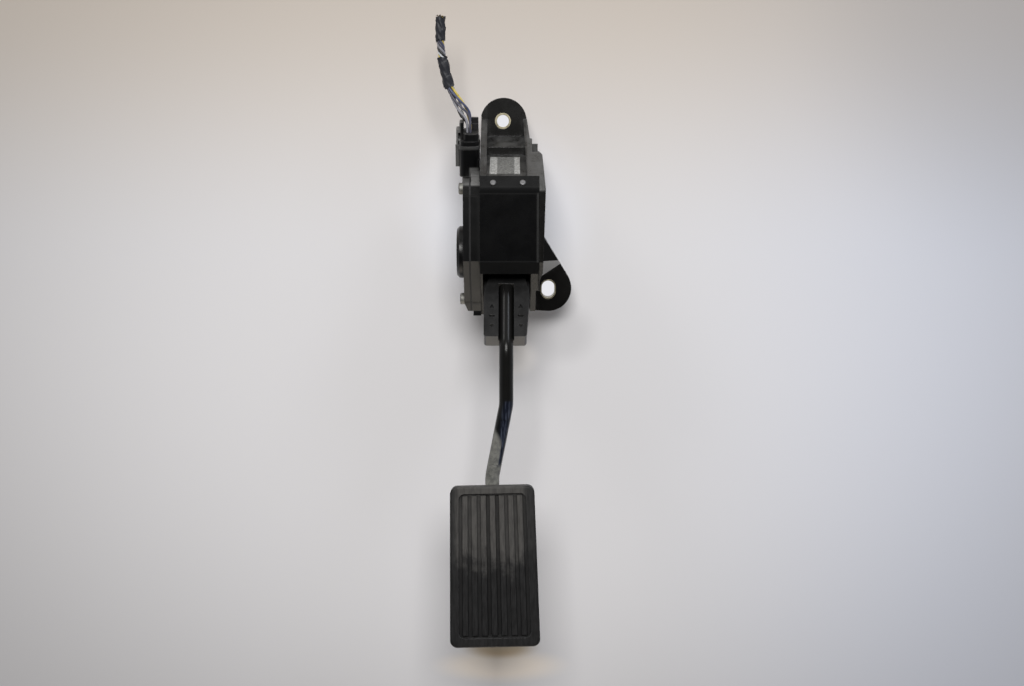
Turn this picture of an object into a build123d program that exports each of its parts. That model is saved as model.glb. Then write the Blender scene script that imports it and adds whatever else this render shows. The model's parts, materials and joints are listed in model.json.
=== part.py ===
from build123d import *
import math
import os

# Frame: X to the driver's right, Y away from the driver, Z up. The origin is on the axis of the
# upper bolt hole, in the mounting plane. A depth is a distance from that plane towards the driver.

# Fits and clearances
RUN_GAP = 0.08
LOOSE_GAP = 0.3
SWING_GAP = 0.5

# Bolt lugs
LUG_THICKNESS = 8.0
LUG_X = 0.4
LUG_RADIUS = 12.6
BOLT_HOLE_RADIUS = 3.3
BUSH_WALL = 1.1
LOWER_HOLE_RADIUS = 3.6
LOWER_BUSH_WALL = 0.7
LOWER_LUG_X = 25.2
LOWER_LUG_Z = -92.3
LOWER_LUG_RADIUS = 12.9
SLOT_PLAY = 2.4
SLOT_DROP = 0.6
WEB_TOP_X = 21.6
WEB_TOP_Z = -61.5
WEB_DEPTH = 18.0
WEB_EDGE_DEPTH = 10.5
WEB_FLAT_Z = -76.5
WEB_FOOT_Z = -88.0

# Housing box, seen from the side
RIB_TOP_Z = 1.0
SHOULDER_Z = -3.8
RAMP_FOOT_Z = -8.2
LEDGE_Z = -14.0
LEDGE_DEPTH = 20.0
SLOPE_FOOT_Z = -18.2
BLOCK_TOP_Z = -16.4
BAND_TOP_Z = -28.2
BAND_BOTTOM_Z = -35.3
BAND_DEPTH = 4.8
FRONT_DEPTH = 58.0
FRONT_BOTTOM_Z = -73.0
LIP_Z = -79.4
LIP_DEPTH = 3.2
LOWER_DEPTH = 26.0
BOTTOM_Z = -104.7

# Housing box, seen from the front
LEFT_X = -11.8
UPPER_RIGHT_X = 13.4
RIGHT_TOP_X = 21.1
RIGHT_X = 22.6
RIGHT_LOWER_X = 21.2
COVER_RIGHT_X = 19.0
CAVITY_RIGHT_X = 14.9
SIDE_WALL = 1.4
BLOCK_CORNER = 1.2
FOOT_STEP_X = 19.7
FOOT_STEP_TOP_Z = -84.0
FOOT_STEP_Z = -90.0
FOOT_RIGHT_X = 17.8
FOOT_BOTTOM_Z = -102.6
RIB_WIDTH = 3.4
RIB_HEAD_INNER_X = 11.1
RIB_HEAD_OUTER_X = 13.2
RIB_NECK_X = 14.6
RIB_NECK_Z = -9.4
RIB_FOOT_X = 15.8
BACK_WALL = 3.0
ROOF_WALL = 2.8
CORE_WALL = 2.2
TAB_WIDTH = 3.2
TAB_HEIGHT = 4.2
TAB_DEPTH = 8.0
TAB_FRONT_DEPTH = 24.0

# Front cover, its rivets and the bare label plate
COVER_WALL = 2.2
BEND_RADIUS = 3.0
BEAD_WIDTH = 1.0
BEAD_HEIGHT = 0.6
RIVET_X = (-4.9, 10.6)
RIVET_RADIUS = 1.7
RIVET_HEIGHT = 0.8
RIVET_DOME_SHARE = 0.9
RIVET_SHANK_RADIUS = 1.0
RIVET_LENGTH = 4.0
LABEL_WIDTH = 16.0
LABEL_LENGTH = 24.0
LABEL_THICKNESS = 0.3
LABEL_X = 1.2
LABEL_LIFT = 4.0

# Pivot and its bearings
PIVOT_DEPTH = 30.0
PIVOT_Z = -70.1
AXLE_RADIUS = 4.0
AXLE_BUSH_WALL = 1.5
BUSH_BOSS_WALL = 2.3
LEFT_BOSS_LENGTH = 2.0
RIGHT_BUSH_LENGTH = 4.6

# Lever
ARM_ANGLE = 32.0
ARM_END = 52.2
ARM_FRONT = 5.6
ARM_BACK = -6.9
WING_END_LEFT_X = -9.9
WING_END_RIGHT_X = 12.7
HUB_RADIUS = 11.0
TAIL_SETBACK = 5.5
TAIL_THICKNESS = 8.0
TAIL_WIDTH = 17.0
GROOVE_CLEARANCE = 0.4
GUSSET_START = 18.0
GUSSET_LENGTH = 10.0
GUSSET_WIDTH = 2.4
WING_POCKET_WALL = 2.0
WING_POCKET_DEPTH = 8.5
END_CORNER = 1.6
MARK_X = (-5.6, 9.6)
MARK_PLACES = (35.0, 40.4, 46.0)
MARK_SIZE = 1.5
MARK_DEPTH = 1.2

# Rod
ROD_RADIUS = 3.75
ROD_X = 1.95
ROD_SOCKET = 12.0
ROD_AXIS_OFFSET = 1.5
ROD_KNEE = 58.0
ROD_ELBOW_Z = -148.0
ROD_KNEE_RADIUS = 16.0
ROD_ELBOW_RADIUS = 18.0
ROD_TOE_RADIUS = 14.0
ROD_FLAT = 2.9
ROD_WELD_FLAT = 3.0
ROD_WELD_LENGTH = 46.0
ROD_TOE_RISE = 4.0

# Pad
PAD_X = -5.5
PAD_TOP_Z = -189.7
PAD_TOP_DEPTH = 72.0
PAD_TILT = 8.2
PAD_TURN = 1.15
PAD_LENGTH = 84.9
PAD_TOP_WIDTH = 44.4
PAD_BOTTOM_WIDTH = 47.7
PAD_THICKNESS = 8.0
PAD_CORNER = 4.0
PAD_EDGE_ROUND = 1.2
RIM_TOP = 3.8
RIM_SIDE = 4.6
RIM_BOTTOM = 5.0
PANEL_CORNER = 3.2
PANEL_RECESS = 1.5
RIB_COUNT = 7
RIB_SHARE = 0.62
RIB_HEIGHT = 1.1
RIB_END_GAP = 1.0
RIB_ROUND = 0.4
GROOVE_DEPTH = 1.2
PLATE_THICKNESS = 2.0
PLATE_MARGIN = 3.0
PLATE_CORNER = 3.0
PLATE_PROUD = 0.5

# Return springs and stops
SPRING_X = 1.6
OUTER_COIL_RADIUS = 6.6
OUTER_WIRE = 1.8
OUTER_TURNS = 5
INNER_COIL_RADIUS = 3.9
INNER_WIRE = 1.3
INNER_TURNS = 7
CUP_WALL = 1.6
CUP_LIP = 2.0
STOP_THICKNESS = 6.2
STOP_WIDTH = 10.0
STOP_HEIGHT = 8.0
STOP_SQUEEZE_GAP = 0.3
KICKDOWN_BOSS_HEIGHT = 23.0
KICKDOWN_THICKNESS = 4.3
KICKDOWN_HEIGHT = 7.0

# Sensor on the left wall
SENSOR_BODY_WIDTH = 4.9
SENSOR_SEAL_WIDTH = 0.8
SENSOR_LID_WIDTH = 3.2
SENSOR_TOP_Z = -33.6
SENSOR_SHOULDER_Z = -38.0
SENSOR_STEP_TOP_Z = -30.2
SENSOR_STEP_FOOT_Z = -32.2
SENSOR_STEP_FRONT = 45.0
SENSOR_BLOCK_TOP_Z = -25.9
SENSOR_BLOCK_FOOT_Z = -28.4
SENSOR_BLOCK_BACK = 35.0
SENSOR_BLOCK_FRONT = 43.0
SENSOR_FRONT_DEPTH = 54.0
SENSOR_BACK_DEPTH = 6.0
SENSOR_BEND_Z = -72.8
SENSOR_TOE_DEPTH = 30.0
SENSOR_BOTTOM_Z = -102.3
SENSOR_FOOT = 2.5
SENSOR_FOOT_WIDTH = 4.2
LID_CHAMFER = (1.8, 4.6)
SENSOR_CORNER = 2.0
CAP_RADIUS = 14.0
CAP_HEIGHT = 3.9
CAP_CHAMFER = 1.4
CHAMBER_RADIUS = 12.4
SENSOR_FLOOR = 1.4
BOARD_RADIUS = 11.6
BOARD_THICKNESS = 1.2
BOARD_STEP = 0.9
ROTOR_RADIUS = 10.5
ROTOR_THICKNESS = 2.6
MAGNET_SIZE = 3.0
MAGNET_OFFSET = 7.4
SCREW_PLACES = ((46.0, -35.2), (31.5, -95.3), (10.5, -73.0))
SCREW_BOSS_RADIUS = 3.4
SCREW_HEAD_RADIUS = 3.1
SCREW_HEAD_HEIGHT = 2.4
SCREW_SHANK_RADIUS = 1.5
SCREW_LENGTH = 10.2
SCREW_SOCKET_RADIUS = 1.4
SCREW_SOCKET_DEPTH = 1.3

# Connector on top of the sensor
CONNECTOR_X = -17.7
CONNECTOR_DEPTH = 27.0
CONNECTOR_Z = -27.5
CONNECTOR_LEAN = 12.0
SHROUD_WIDTH = 10.6
SHROUD_DEPTH = 20.0
SHROUD_HEIGHT = 16.5
SHROUD_WALL = 1.5
SHROUD_FLOOR = 3.0
SHROUD_CORNER = 3.6
RIM_BEAD = 0.35
RIM_BEAD_HEIGHT = 2.0
NECK_TOP_Z = -25.0
NECK_RIGHT_GAP = 0.4
PIN_SIZE = 0.8
PIN_TOP = 11.0
PIN_PITCH_X = 2.4
PIN_PITCH_Y = 3.2
PLUG_BOTTOM = 6.0
PLUG_TOP = 22.7
PLUG_COLLAR_HEIGHT = 2.4
PLUG_BARREL_MARGIN = 1.2
PLUG_HEAD_WIDTH = 7.8
PLUG_HEAD_SHIFT = 0.9
LATCH_WIDTH = 8.0
LATCH_THICKNESS = 1.0
LATCH_BOTTOM = 4.8
LATCH_TOP = 24.4
LATCH_WINDOW = 3.4
LATCH_GUARD = 1.2
TOWER_TOP = 28.0
TOWER_WIDTH = 2.2
TOWER_HOLE = 1.4
LOCK_WIDTH = 3.8
LOCK_HEIGHT = 6.0
LOCK_REAR_INSET = 0.8
LOCK_STEP = 1.6

# Cut harness: wires along one hand-chosen route of (X, depth, Z), spread at the plug, packed in the tape
WIRE_DIAMETER = 1.25
BUNDLE_PITCH = 1.4
TAPE_INNER_RADIUS = 2.25
TAPE_WALL = 0.3
WIRE_EXIT_X = -17.9
WIRE_EXIT_RUN = 5.6
ROUTE = [
    (-21.4, 33.4, 6.4),
    (-25.0, 33.6, 12.2),
    (-28.4, 33.6, 18.6),
    (-30.4, 33.6, 26.5),
    (-31.8, 33.6, 35.0),
    (-32.1, 33.6, 44.2),
    (-32.6, 33.6, 54.2),
]
ROUTE_SPREAD = [0.36, 0.1, 0.0, 0.0, 0.0, 0.0, 0.0]
ARC_SHARE = 0.45

WING_LEFT_X = LEFT_X + SIDE_WALL + SWING_GAP
WING_RIGHT_X = CAVITY_RIGHT_X - SWING_GAP
TAIL_BACK_DEPTH = PIVOT_DEPTH - TAIL_SETBACK
CAVITY_LEFT_X = LEFT_X + SIDE_WALL
SEAL_X = LEFT_X - SENSOR_BODY_WIDTH
LID_X = SEAL_X - SENSOR_SEAL_WIDTH
LID_OUTER_X = LID_X - SENSOR_LID_WIDTH
CAP_X = LID_OUTER_X - CAP_HEIGHT
NECK_FRONT = CONNECTOR_DEPTH + SHROUD_DEPTH / 2 - SHROUD_WALL
SENSOR_STEP_BACK = NECK_FRONT + LOOSE_GAP
AXLE_BUSH_RADIUS = AXLE_RADIUS + RUN_GAP + AXLE_BUSH_WALL
ROTOR_X = LEFT_X - LEFT_BOSS_LENGTH - LOOSE_GAP
CUP_INNER_RADIUS = OUTER_COIL_RADIUS + OUTER_WIRE / 2 + LOOSE_GAP
CUP_RADIUS = CUP_INNER_RADIUS + CUP_WALL
SPRING_Z = PIVOT_Z + HUB_RADIUS + CUP_RADIUS + LOOSE_GAP
TAIL_TOP_Z = SPRING_Z + CUP_RADIUS


def prism(points, left, right):
    """Solid with a side outline, given as (depth, height) points, between two X positions."""
    outline = make_face(Polyline(*[(-d, z) for d, z in points], close=True))
    return extrude(Plane.YZ.offset(left) * outline, amount=right - left, dir=(1, 0, 0))


def front_plane(depth):
    """Plane facing the driver at a depth, with X to the right and Z up."""
    return Plane(origin=(0, -depth, 0), x_dir=(1, 0, 0), z_dir=(0, -1, 0))


def plate(sketch, back, front):
    """Front-view sketch made solid between two depths."""
    return extrude(front_plane(back) * sketch, amount=front - back, dir=(0, -1, 0))


def bar_along_x(radius, depth, z, left, right):
    """Round bar along X between two X positions."""
    disc = Plane.YZ.offset(left) * Pos(-depth, z) * Circle(radius)
    return extrude(disc, amount=right - left, dir=(1, 0, 0))


def block(left, right, back, front, bottom, top):
    """Box between two X positions, two depths and two heights."""
    centre = ((left + right) / 2, -(back + front) / 2, (bottom + top) / 2)
    return Pos(*centre) * Box(right - left, front - back, top - bottom)


def inset(points, distance):
    """Polyline of (depth, height) moved sideways by a distance, with mitred corners."""
    normals = []
    for (d0, z0), (d1, z1) in zip(points, points[1:]):
        length = math.hypot(d1 - d0, z1 - z0)
        normals.append(((z1 - z0) / length, -(d1 - d0) / length))
    moved = []
    for i, (d, z) in enumerate(points):
        before = normals[max(i - 1, 0)]
        after = normals[min(i, len(normals) - 1)]
        scale = distance / (1 + before[0] * after[0] + before[1] * after[1])
        moved.append((d + (before[0] + after[0]) * scale, z + (before[1] + after[1]) * scale))
    return moved


def arm_point(along, across):
    """(depth, height) of a point given along the lever from the pivot and across it to the driver."""
    angle = math.radians(ARM_ANGLE)
    depth = PIVOT_DEPTH + along * math.sin(angle) + across * math.cos(angle)
    height = PIVOT_Z - along * math.cos(angle) + across * math.sin(angle)
    return depth, height


COVER_LINE = [
    (FRONT_DEPTH - BAND_DEPTH, BAND_TOP_Z),
    (FRONT_DEPTH, BAND_BOTTOM_Z),
    (FRONT_DEPTH, FRONT_BOTTOM_Z),
    (FRONT_DEPTH - LIP_DEPTH, LIP_Z),
]
SEAT_LINE = inset(COVER_LINE, COVER_WALL)
FOOT_LINE = [(LOWER_DEPTH, BOTTOM_Z), (0, BOTTOM_Z)]


def lower_lug_sketch():
    """Front outline of the lower lug: its round end and the straight web edge up to the housing."""
    round_end = Pos(LOWER_LUG_X, LOWER_LUG_Z) * Circle(LOWER_LUG_RADIUS)
    root = Line((WEB_TOP_X, WEB_TOP_Z), (UPPER_RIGHT_X - SIDE_WALL, BOTTOM_Z + LOOSE_GAP))
    return make_hull(round_end.edges() + root.edges())


def web_edge_x(z):
    """X of the web's straight outer edge at a height: a tangent from the web's top to the round end."""
    across = LOWER_LUG_X - WEB_TOP_X
    down = WEB_TOP_Z - LOWER_LUG_Z
    reach = math.hypot(across, down)
    angle = math.atan2(across, down) + math.asin(LOWER_LUG_RADIUS / reach)
    return WEB_TOP_X + (WEB_TOP_Z - z) * math.tan(angle)


def lower_web():
    """Thick upper part of the lower lug: its front leans to its outer edge, its end slopes to the lug."""
    root = FOOT_RIGHT_X
    outline = [(root, WEB_TOP_Z), (WEB_TOP_X, WEB_TOP_Z), (web_edge_x(WEB_FOOT_Z), WEB_FOOT_Z),
               (root, WEB_FOOT_Z)]
    web = plate(make_face(Polyline(*outline, close=True)), LUG_THICKNESS, WEB_DEPTH)
    inner = Vector(root, -WEB_DEPTH, WEB_FLAT_Z)
    outer = Vector(web_edge_x(WEB_FLAT_Z), -WEB_EDGE_DEPTH, WEB_FLAT_Z)
    foot = Vector(root, -LUG_THICKNESS, WEB_FOOT_Z)
    crest = outer - inner
    for normal in (crest.cross(Vector(0, 0, 1)), crest.cross(inner - foot)):
        web = split(web, bisect_by=Plane(origin=inner, z_dir=normal), keep=Keep.BOTTOM)
    return web


def slot(radius):
    """Upright slot sketch with round ends."""
    return SlotCenterToCenter(SLOT_PLAY, 2 * radius, rotation=90)


def bolt_holes(upper_wall, lower_wall):
    """Bars that fill both bolt holes, widened by the bush walls or nothing."""
    upper = plate(Circle(BOLT_HOLE_RADIUS + upper_wall), 0, LUG_THICKNESS)
    place = Pos(LOWER_LUG_X, LOWER_LUG_Z - SLOT_DROP)
    lower = plate(place * slot(LOWER_HOLE_RADIUS + lower_wall), 0, LUG_THICKNESS)
    return upper, lower


def right_rib():
    """Front outline of the right-hand rib, which leans outwards and steps out above the block."""
    foot = BAND_BOTTOM_Z
    return make_face(Polyline(
        (RIB_HEAD_INNER_X, RIB_TOP_Z), (RIB_HEAD_OUTER_X, RIB_TOP_Z), (RIB_NECK_X, RIB_NECK_Z),
        (RIB_FOOT_X, RIB_NECK_Z), (RIB_FOOT_X, foot), (UPPER_RIGHT_X, foot), close=True))


def right_block():
    """Front outline of the right-hand block: widest at the band, and drawn in beside the lower lug."""
    return make_face(Polyline(
        (UPPER_RIGHT_X, BLOCK_TOP_Z), (RIGHT_TOP_X - BLOCK_CORNER, BLOCK_TOP_Z),
        (RIGHT_TOP_X, BLOCK_TOP_Z - BLOCK_CORNER), (RIGHT_X, BAND_BOTTOM_Z), (RIGHT_LOWER_X, LIP_Z),
        (FOOT_STEP_X, FOOT_STEP_TOP_Z), (FOOT_STEP_X, FOOT_STEP_Z), (FOOT_RIGHT_X, FOOT_STEP_Z),
        (FOOT_RIGHT_X, FOOT_BOTTOM_Z), (UPPER_RIGHT_X, FOOT_BOTTOM_Z), close=True))


def housing_shell():
    """Outer form of the housing: lugs, stepped upper wall between two ribs, and the right-hand block."""
    rib = [(0, RIB_TOP_Z), (LUG_THICKNESS, RIB_TOP_Z), COVER_LINE[0]] + SEAT_LINE[:3] + FOOT_LINE
    middle = [(0, SHOULDER_Z), (LUG_THICKNESS, SHOULDER_Z), (LUG_THICKNESS, RAMP_FOOT_Z),
              (LEDGE_DEPTH, LEDGE_Z), (LEDGE_DEPTH, SLOPE_FOOT_Z)] + SEAT_LINE[:3] + FOOT_LINE
    rib_slope = (COVER_LINE[0][1] - RIB_TOP_Z) / (COVER_LINE[0][0] - LUG_THICKNESS)
    block_depth = LUG_THICKNESS + (BLOCK_TOP_Z - RIB_TOP_Z) / rib_slope
    block_top = [(0, BLOCK_TOP_Z), (block_depth, BLOCK_TOP_Z), COVER_LINE[0]]
    shell = prism(middle, LEFT_X, UPPER_RIGHT_X)
    shell += prism(rib, LEFT_X, LEFT_X + RIB_WIDTH)
    shell += prism(rib, RIB_HEAD_INNER_X, RIB_FOOT_X) & plate(right_rib(), 0, FRONT_DEPTH)
    side = prism(block_top + SEAT_LINE[:3] + FOOT_LINE, UPPER_RIGHT_X, COVER_RIGHT_X + LOOSE_GAP)
    side += prism(block_top + COVER_LINE[1:3] + FOOT_LINE, COVER_RIGHT_X + LOOSE_GAP, RIGHT_X)
    shell += side & plate(right_block(), 0, FRONT_DEPTH)
    tab_left = UPPER_RIGHT_X + (RIGHT_TOP_X - UPPER_RIGHT_X - TAB_WIDTH) / 2
    shell += block(tab_left, tab_left + TAB_WIDTH, TAB_FRONT_DEPTH - TAB_DEPTH, TAB_FRONT_DEPTH,
                   BLOCK_TOP_Z - TAB_HEIGHT, BLOCK_TOP_Z + TAB_HEIGHT)
    shell += plate(Pos(LUG_X, 0) * Circle(LUG_RADIUS), 0, LUG_THICKNESS)
    shell -= block(-2 * LUG_RADIUS, LEFT_X, 0, LUG_THICKNESS, -LUG_RADIUS, LUG_RADIUS)
    shell += block(LEFT_X, LUG_X + LUG_RADIUS, 0, LUG_THICKNESS, 2 * SHOULDER_Z, 0)
    shell += plate(lower_lug_sketch(), 0, LUG_THICKNESS)
    shell += lower_web()
    return shell


def cavity():
    """Room for the lever: open at the front, where the cover closes it, and at the bottom."""
    roof = SLOPE_FOOT_Z - ROOF_WALL
    seat_top, seat_bottom = inset(SEAT_LINE[:2], ROOF_WALL)
    past_front = FRONT_DEPTH + COVER_WALL
    past_bottom = BOTTOM_Z - COVER_WALL
    sill = seat_bottom[1] - ROOF_WALL
    outline = [(BACK_WALL, roof), (LEDGE_DEPTH, roof), seat_top, (SEAT_LINE[1][0], sill),
               (past_front, sill), (past_front, past_bottom), (BACK_WALL, past_bottom)]
    return prism(outline, CAVITY_LEFT_X, CAVITY_RIGHT_X)


def back_cores():
    """Pockets that keep the moulded walls even, open in the mounting face."""
    left = LEFT_X + RIB_WIDTH
    right = UPPER_RIGHT_X - RIB_WIDTH
    middle = (left + right) / 2
    top = RAMP_FOOT_Z - 2 * CORE_WALL
    bottom = SLOPE_FOOT_Z
    depth = LUG_THICKNESS - CORE_WALL
    cores = block(left, middle - CORE_WALL / 2, 0, depth, bottom, top)
    cores += block(middle + CORE_WALL / 2, right, 0, depth, bottom, top)
    side_left = CAVITY_RIGHT_X + CORE_WALL
    side_right = RIGHT_LOWER_X - CORE_WALL
    bearing = AXLE_BUSH_RADIUS + 2 * BUSH_BOSS_WALL
    upper_top = BAND_BOTTOM_Z - CORE_WALL
    side_depth = SEAT_LINE[1][0] - 2 * CORE_WALL
    return cores + block(side_left, side_right, 0, side_depth, PIVOT_Z + bearing, upper_top)


def stop_bosses():
    """Two pillars on the back wall that carry the rubber stops."""
    left = SPRING_X - STOP_WIDTH / 2
    right = SPRING_X + STOP_WIDTH / 2
    rest_front = TAIL_BACK_DEPTH - STOP_SQUEEZE_GAP - STOP_THICKNESS
    rest = block(left, right, 0, rest_front, TAIL_TOP_Z - STOP_HEIGHT, TAIL_TOP_Z)
    full = block(left, right, 0, BACK_WALL + KICKDOWN_BOSS_HEIGHT, BOTTOM_Z, BOTTOM_Z + KICKDOWN_HEIGHT)
    return rest, full


def bearing_spans():
    """X positions where each of the two bearings starts and ends."""
    left = (LEFT_X - LEFT_BOSS_LENGTH, CAVITY_LEFT_X)
    return [left, (CAVITY_RIGHT_X, CAVITY_RIGHT_X + RIGHT_BUSH_LENGTH)]


def make_housing():
    """Moulded housing with its bush seats, bearing bores, cores, stop pillars and screw holes."""
    body = housing_shell() - cavity()
    rest_boss, full_boss = stop_bosses()
    body += rest_boss
    body += full_boss
    boss_radius = AXLE_BUSH_RADIUS + BUSH_BOSS_WALL
    body += bar_along_x(boss_radius, PIVOT_DEPTH, PIVOT_Z, LEFT_X - LEFT_BOSS_LENGTH, CAVITY_LEFT_X)
    for left, right in bearing_spans():
        body -= bar_along_x(AXLE_BUSH_RADIUS, PIVOT_DEPTH, PIVOT_Z, left, right)
    for seat in bolt_holes(BUSH_WALL, LOWER_BUSH_WALL):
        body -= seat
    body -= back_cores()
    for x in RIVET_X:
        body -= rivet_bar(x, RIVET_SHANK_RADIUS, -RIVET_LENGTH, 0)
    for d, z in SCREW_PLACES:
        body -= bar_along_x(SCREW_SHANK_RADIUS, d, z, LEFT_X, screw_tip_x())
    return body


def make_bolt_bushes():
    """Steel sleeves in the two lugs: a round one above and an oblong one below."""
    upper_seat, lower_seat = bolt_holes(BUSH_WALL, LOWER_BUSH_WALL)
    upper_bore, lower_bore = bolt_holes(0, 0)
    return upper_seat - upper_bore, lower_seat - lower_bore


def band_plane(x):
    """Plane on the middle of the cover's sloping band, facing out of it."""
    (d0, z0), (d1, z1) = COVER_LINE[:2]
    normal = Vector(0, z1 - z0, d1 - d0)
    return Plane(origin=(x, -(d0 + d1) / 2, (z0 + z1) / 2), x_dir=(1, 0, 0), z_dir=normal)


def rivet_bar(x, radius, start, end):
    """Round bar on a rivet's axis, between two distances from the band's outer face."""
    plane = band_plane(x)
    return extrude(plane.offset(start) * Circle(radius), amount=end - start, dir=plane.z_dir)


def make_front_cover():
    """Bent cover over the front opening: sloping rivet band, flat panel, turned-in lip and edge bead."""
    outline = COVER_LINE + SEAT_LINE[::-1]
    cover = prism(outline, LEFT_X, COVER_RIGHT_X)
    long_edges = cover.edges().filter_by(Axis.X)
    bend = long_edges.sort_by_distance((0, -FRONT_DEPTH, BAND_BOTTOM_Z))[0]
    cover = fillet(bend, BEND_RADIUS)
    inside = FRONT_DEPTH - COVER_WALL
    cover += block(COVER_RIGHT_X - BEAD_WIDTH, COVER_RIGHT_X, inside, FRONT_DEPTH + BEAD_HEIGHT,
                   FRONT_BOTTOM_Z, BAND_BOTTOM_Z - BEND_RADIUS)
    cover += bar_along_depth(INNER_COIL_RADIUS - INNER_WIRE, SPRING_X, SPRING_Z, inside - CUP_LIP, inside)
    for x in RIVET_X:
        cover -= rivet_bar(x, RIVET_SHANK_RADIUS, -RIVET_LENGTH, RIVET_LENGTH)
    return cover


def bar_along_depth(radius, x, z, back, front):
    """Round bar along Y between two depths."""
    return plate(Pos(x, z) * Circle(radius), back, front)


def make_rivets():
    """Two low domed rivets through the band."""
    rivets = []
    for x in RIVET_X:
        head = rivet_bar(x, RIVET_RADIUS, 0, RIVET_HEIGHT)
        rim = head.edges().filter_by(GeomType.CIRCLE).sort_by(Axis((0, 0, 0), tuple(band_plane(x).z_dir)))
        head = fillet(rim[-1], RIVET_HEIGHT * RIVET_DOME_SHARE)
        rivets.append(head + rivet_bar(x, RIVET_SHANK_RADIUS, -RIVET_LENGTH, 0))
    return Compound(children=rivets)


def make_label():
    """Bare metal plate on the slope between the two ribs."""
    (d0, z0), (d1, z1) = (LEDGE_DEPTH, SLOPE_FOOT_Z), SEAT_LINE[0]
    length = math.hypot(d1 - d0, z1 - z0)
    share = (LABEL_LIFT + LABEL_LENGTH / 2) / length
    normal = Vector(0, z1 - z0, d1 - d0)
    centre = (LABEL_X, -(d0 + (d1 - d0) * share), z0 + (z1 - z0) * share)
    face = Plane(origin=centre, x_dir=(1, 0, 0), z_dir=normal)
    return extrude(face * Rectangle(LABEL_WIDTH, LABEL_LENGTH), amount=LABEL_THICKNESS, dir=face.z_dir)


def make_axle_bushes():
    """Plain bearings pressed into the left wall and the right-hand block."""
    bushes = []
    for left, right in bearing_spans():
        sleeve = bar_along_x(AXLE_BUSH_RADIUS, PIVOT_DEPTH, PIVOT_Z, left, right)
        bushes.append(sleeve - bar_along_x(AXLE_RADIUS + RUN_GAP, PIVOT_DEPTH, PIVOT_Z, left, right))
    return bushes


def make_stops():
    """Rubber blocks: one behind the lever's tail at rest, one behind the arm at full travel."""
    left = SPRING_X - STOP_WIDTH / 2
    right = SPRING_X + STOP_WIDTH / 2
    rest_front = TAIL_BACK_DEPTH - STOP_SQUEEZE_GAP
    rest_back = rest_front - STOP_THICKNESS
    rest = block(left, right, rest_back, rest_front, TAIL_TOP_Z - STOP_HEIGHT, TAIL_TOP_Z)
    full_back = BACK_WALL + KICKDOWN_BOSS_HEIGHT
    full_front = full_back + KICKDOWN_THICKNESS
    full = block(left, right, full_back, full_front, BOTTOM_Z, BOTTOM_Z + KICKDOWN_HEIGHT)
    return rest, full


def coil(radius, wire, turns, back, front):
    """Compression spring along Y between two depths."""
    height = front - back - wire
    helix = Helix(pitch=height / turns, height=height, radius=radius)
    section = Plane(origin=helix @ 0, z_dir=helix % 0) * Circle(wire / 2)
    spring = sweep(section, path=helix, is_frenet=True)
    return Plane(origin=(SPRING_X, -back - wire / 2, SPRING_Z), x_dir=(1, 0, 0), z_dir=(0, -1, 0)) * spring


def make_springs():
    """Two nested return springs between the cup on the lever's tail and the front cover."""
    back = TAIL_BACK_DEPTH + TAIL_THICKNESS + CUP_WALL
    front = FRONT_DEPTH - COVER_WALL
    outer = coil(OUTER_COIL_RADIUS, OUTER_WIRE, OUTER_TURNS, back, front)
    inner = coil(INNER_COIL_RADIUS, INNER_WIRE, INNER_TURNS, back, front)
    return outer, inner


def make_spring_cup():
    """Plastic cup on the tail that locates both springs."""
    back = TAIL_BACK_DEPTH + TAIL_THICKNESS
    lip = back + CUP_WALL + CUP_LIP
    cup = bar_along_depth(CUP_RADIUS, SPRING_X, SPRING_Z, back, lip)
    cup -= bar_along_depth(CUP_INNER_RADIUS, SPRING_X, SPRING_Z, back + CUP_WALL, lip)
    peg = INNER_COIL_RADIUS - INNER_WIRE / 2 - LOOSE_GAP
    return cup + bar_along_depth(peg, SPRING_X, SPRING_Z, back + CUP_WALL, lip)


def rod_point(along):
    """Point on the rod's straight head, at a distance along the lever from the pivot."""
    depth, height = arm_point(along, ROD_AXIS_OFFSET)
    return Vector(ROD_X, -depth, height)


def rod_groove():
    """Channel in the lever for the rod: round-bottomed, open to the driver, with a socket at its head."""
    start, end = rod_point(ROD_SOCKET), rod_point(ROD_KNEE)
    axis = end - start
    socket = extrude(Plane(origin=start, z_dir=axis) * Circle(ROD_RADIUS), amount=axis.length)
    mouth = GUSSET_START + ROD_RADIUS
    open_radius = ROD_RADIUS + GROOVE_CLEARANCE
    lift = axis.normalized() * (mouth - ROD_SOCKET)
    channel = extrude(Plane(origin=start + lift, z_dir=axis) * Circle(open_radius), amount=axis.length)
    slot_outline = [arm_point(mouth, ROD_AXIS_OFFSET), arm_point(ROD_KNEE, ROD_AXIS_OFFSET),
                    arm_point(ROD_KNEE, ARM_FRONT + open_radius), arm_point(mouth, ARM_FRONT + open_radius)]
    return socket + channel + prism(slot_outline, ROD_X - open_radius, ROD_X + open_radius)


def wing_pockets():
    """Two pockets in the back of the wings, so that the moulding has even walls."""
    start = GUSSET_START + GUSSET_LENGTH
    end = ARM_END - WING_POCKET_WALL
    outline = [arm_point(start, ARM_BACK), arm_point(end, ARM_BACK),
               arm_point(end, ARM_BACK + WING_POCKET_DEPTH), arm_point(start, ARM_BACK + WING_POCKET_DEPTH)]
    groove = ROD_RADIUS + GROOVE_CLEARANCE + WING_POCKET_WALL
    left = prism(outline, WING_LEFT_X + WING_POCKET_WALL, ROD_X - groove)
    right = prism(outline, ROD_X + groove, WING_END_RIGHT_X - WING_POCKET_WALL)
    return left + right


def arm_slab(sketch, back, front):
    """Sketch of (X, minus the distance along the arm), made solid between two distances across the arm."""
    angle = math.radians(ARM_ANGLE)
    depth, height = arm_point(0, back)
    normal = (0, -math.cos(angle), math.sin(angle))
    face = Plane(origin=(0, -depth, height), x_dir=(1, 0, 0), z_dir=normal)
    return extrude(face * sketch, amount=front - back, dir=face.z_dir)


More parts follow.
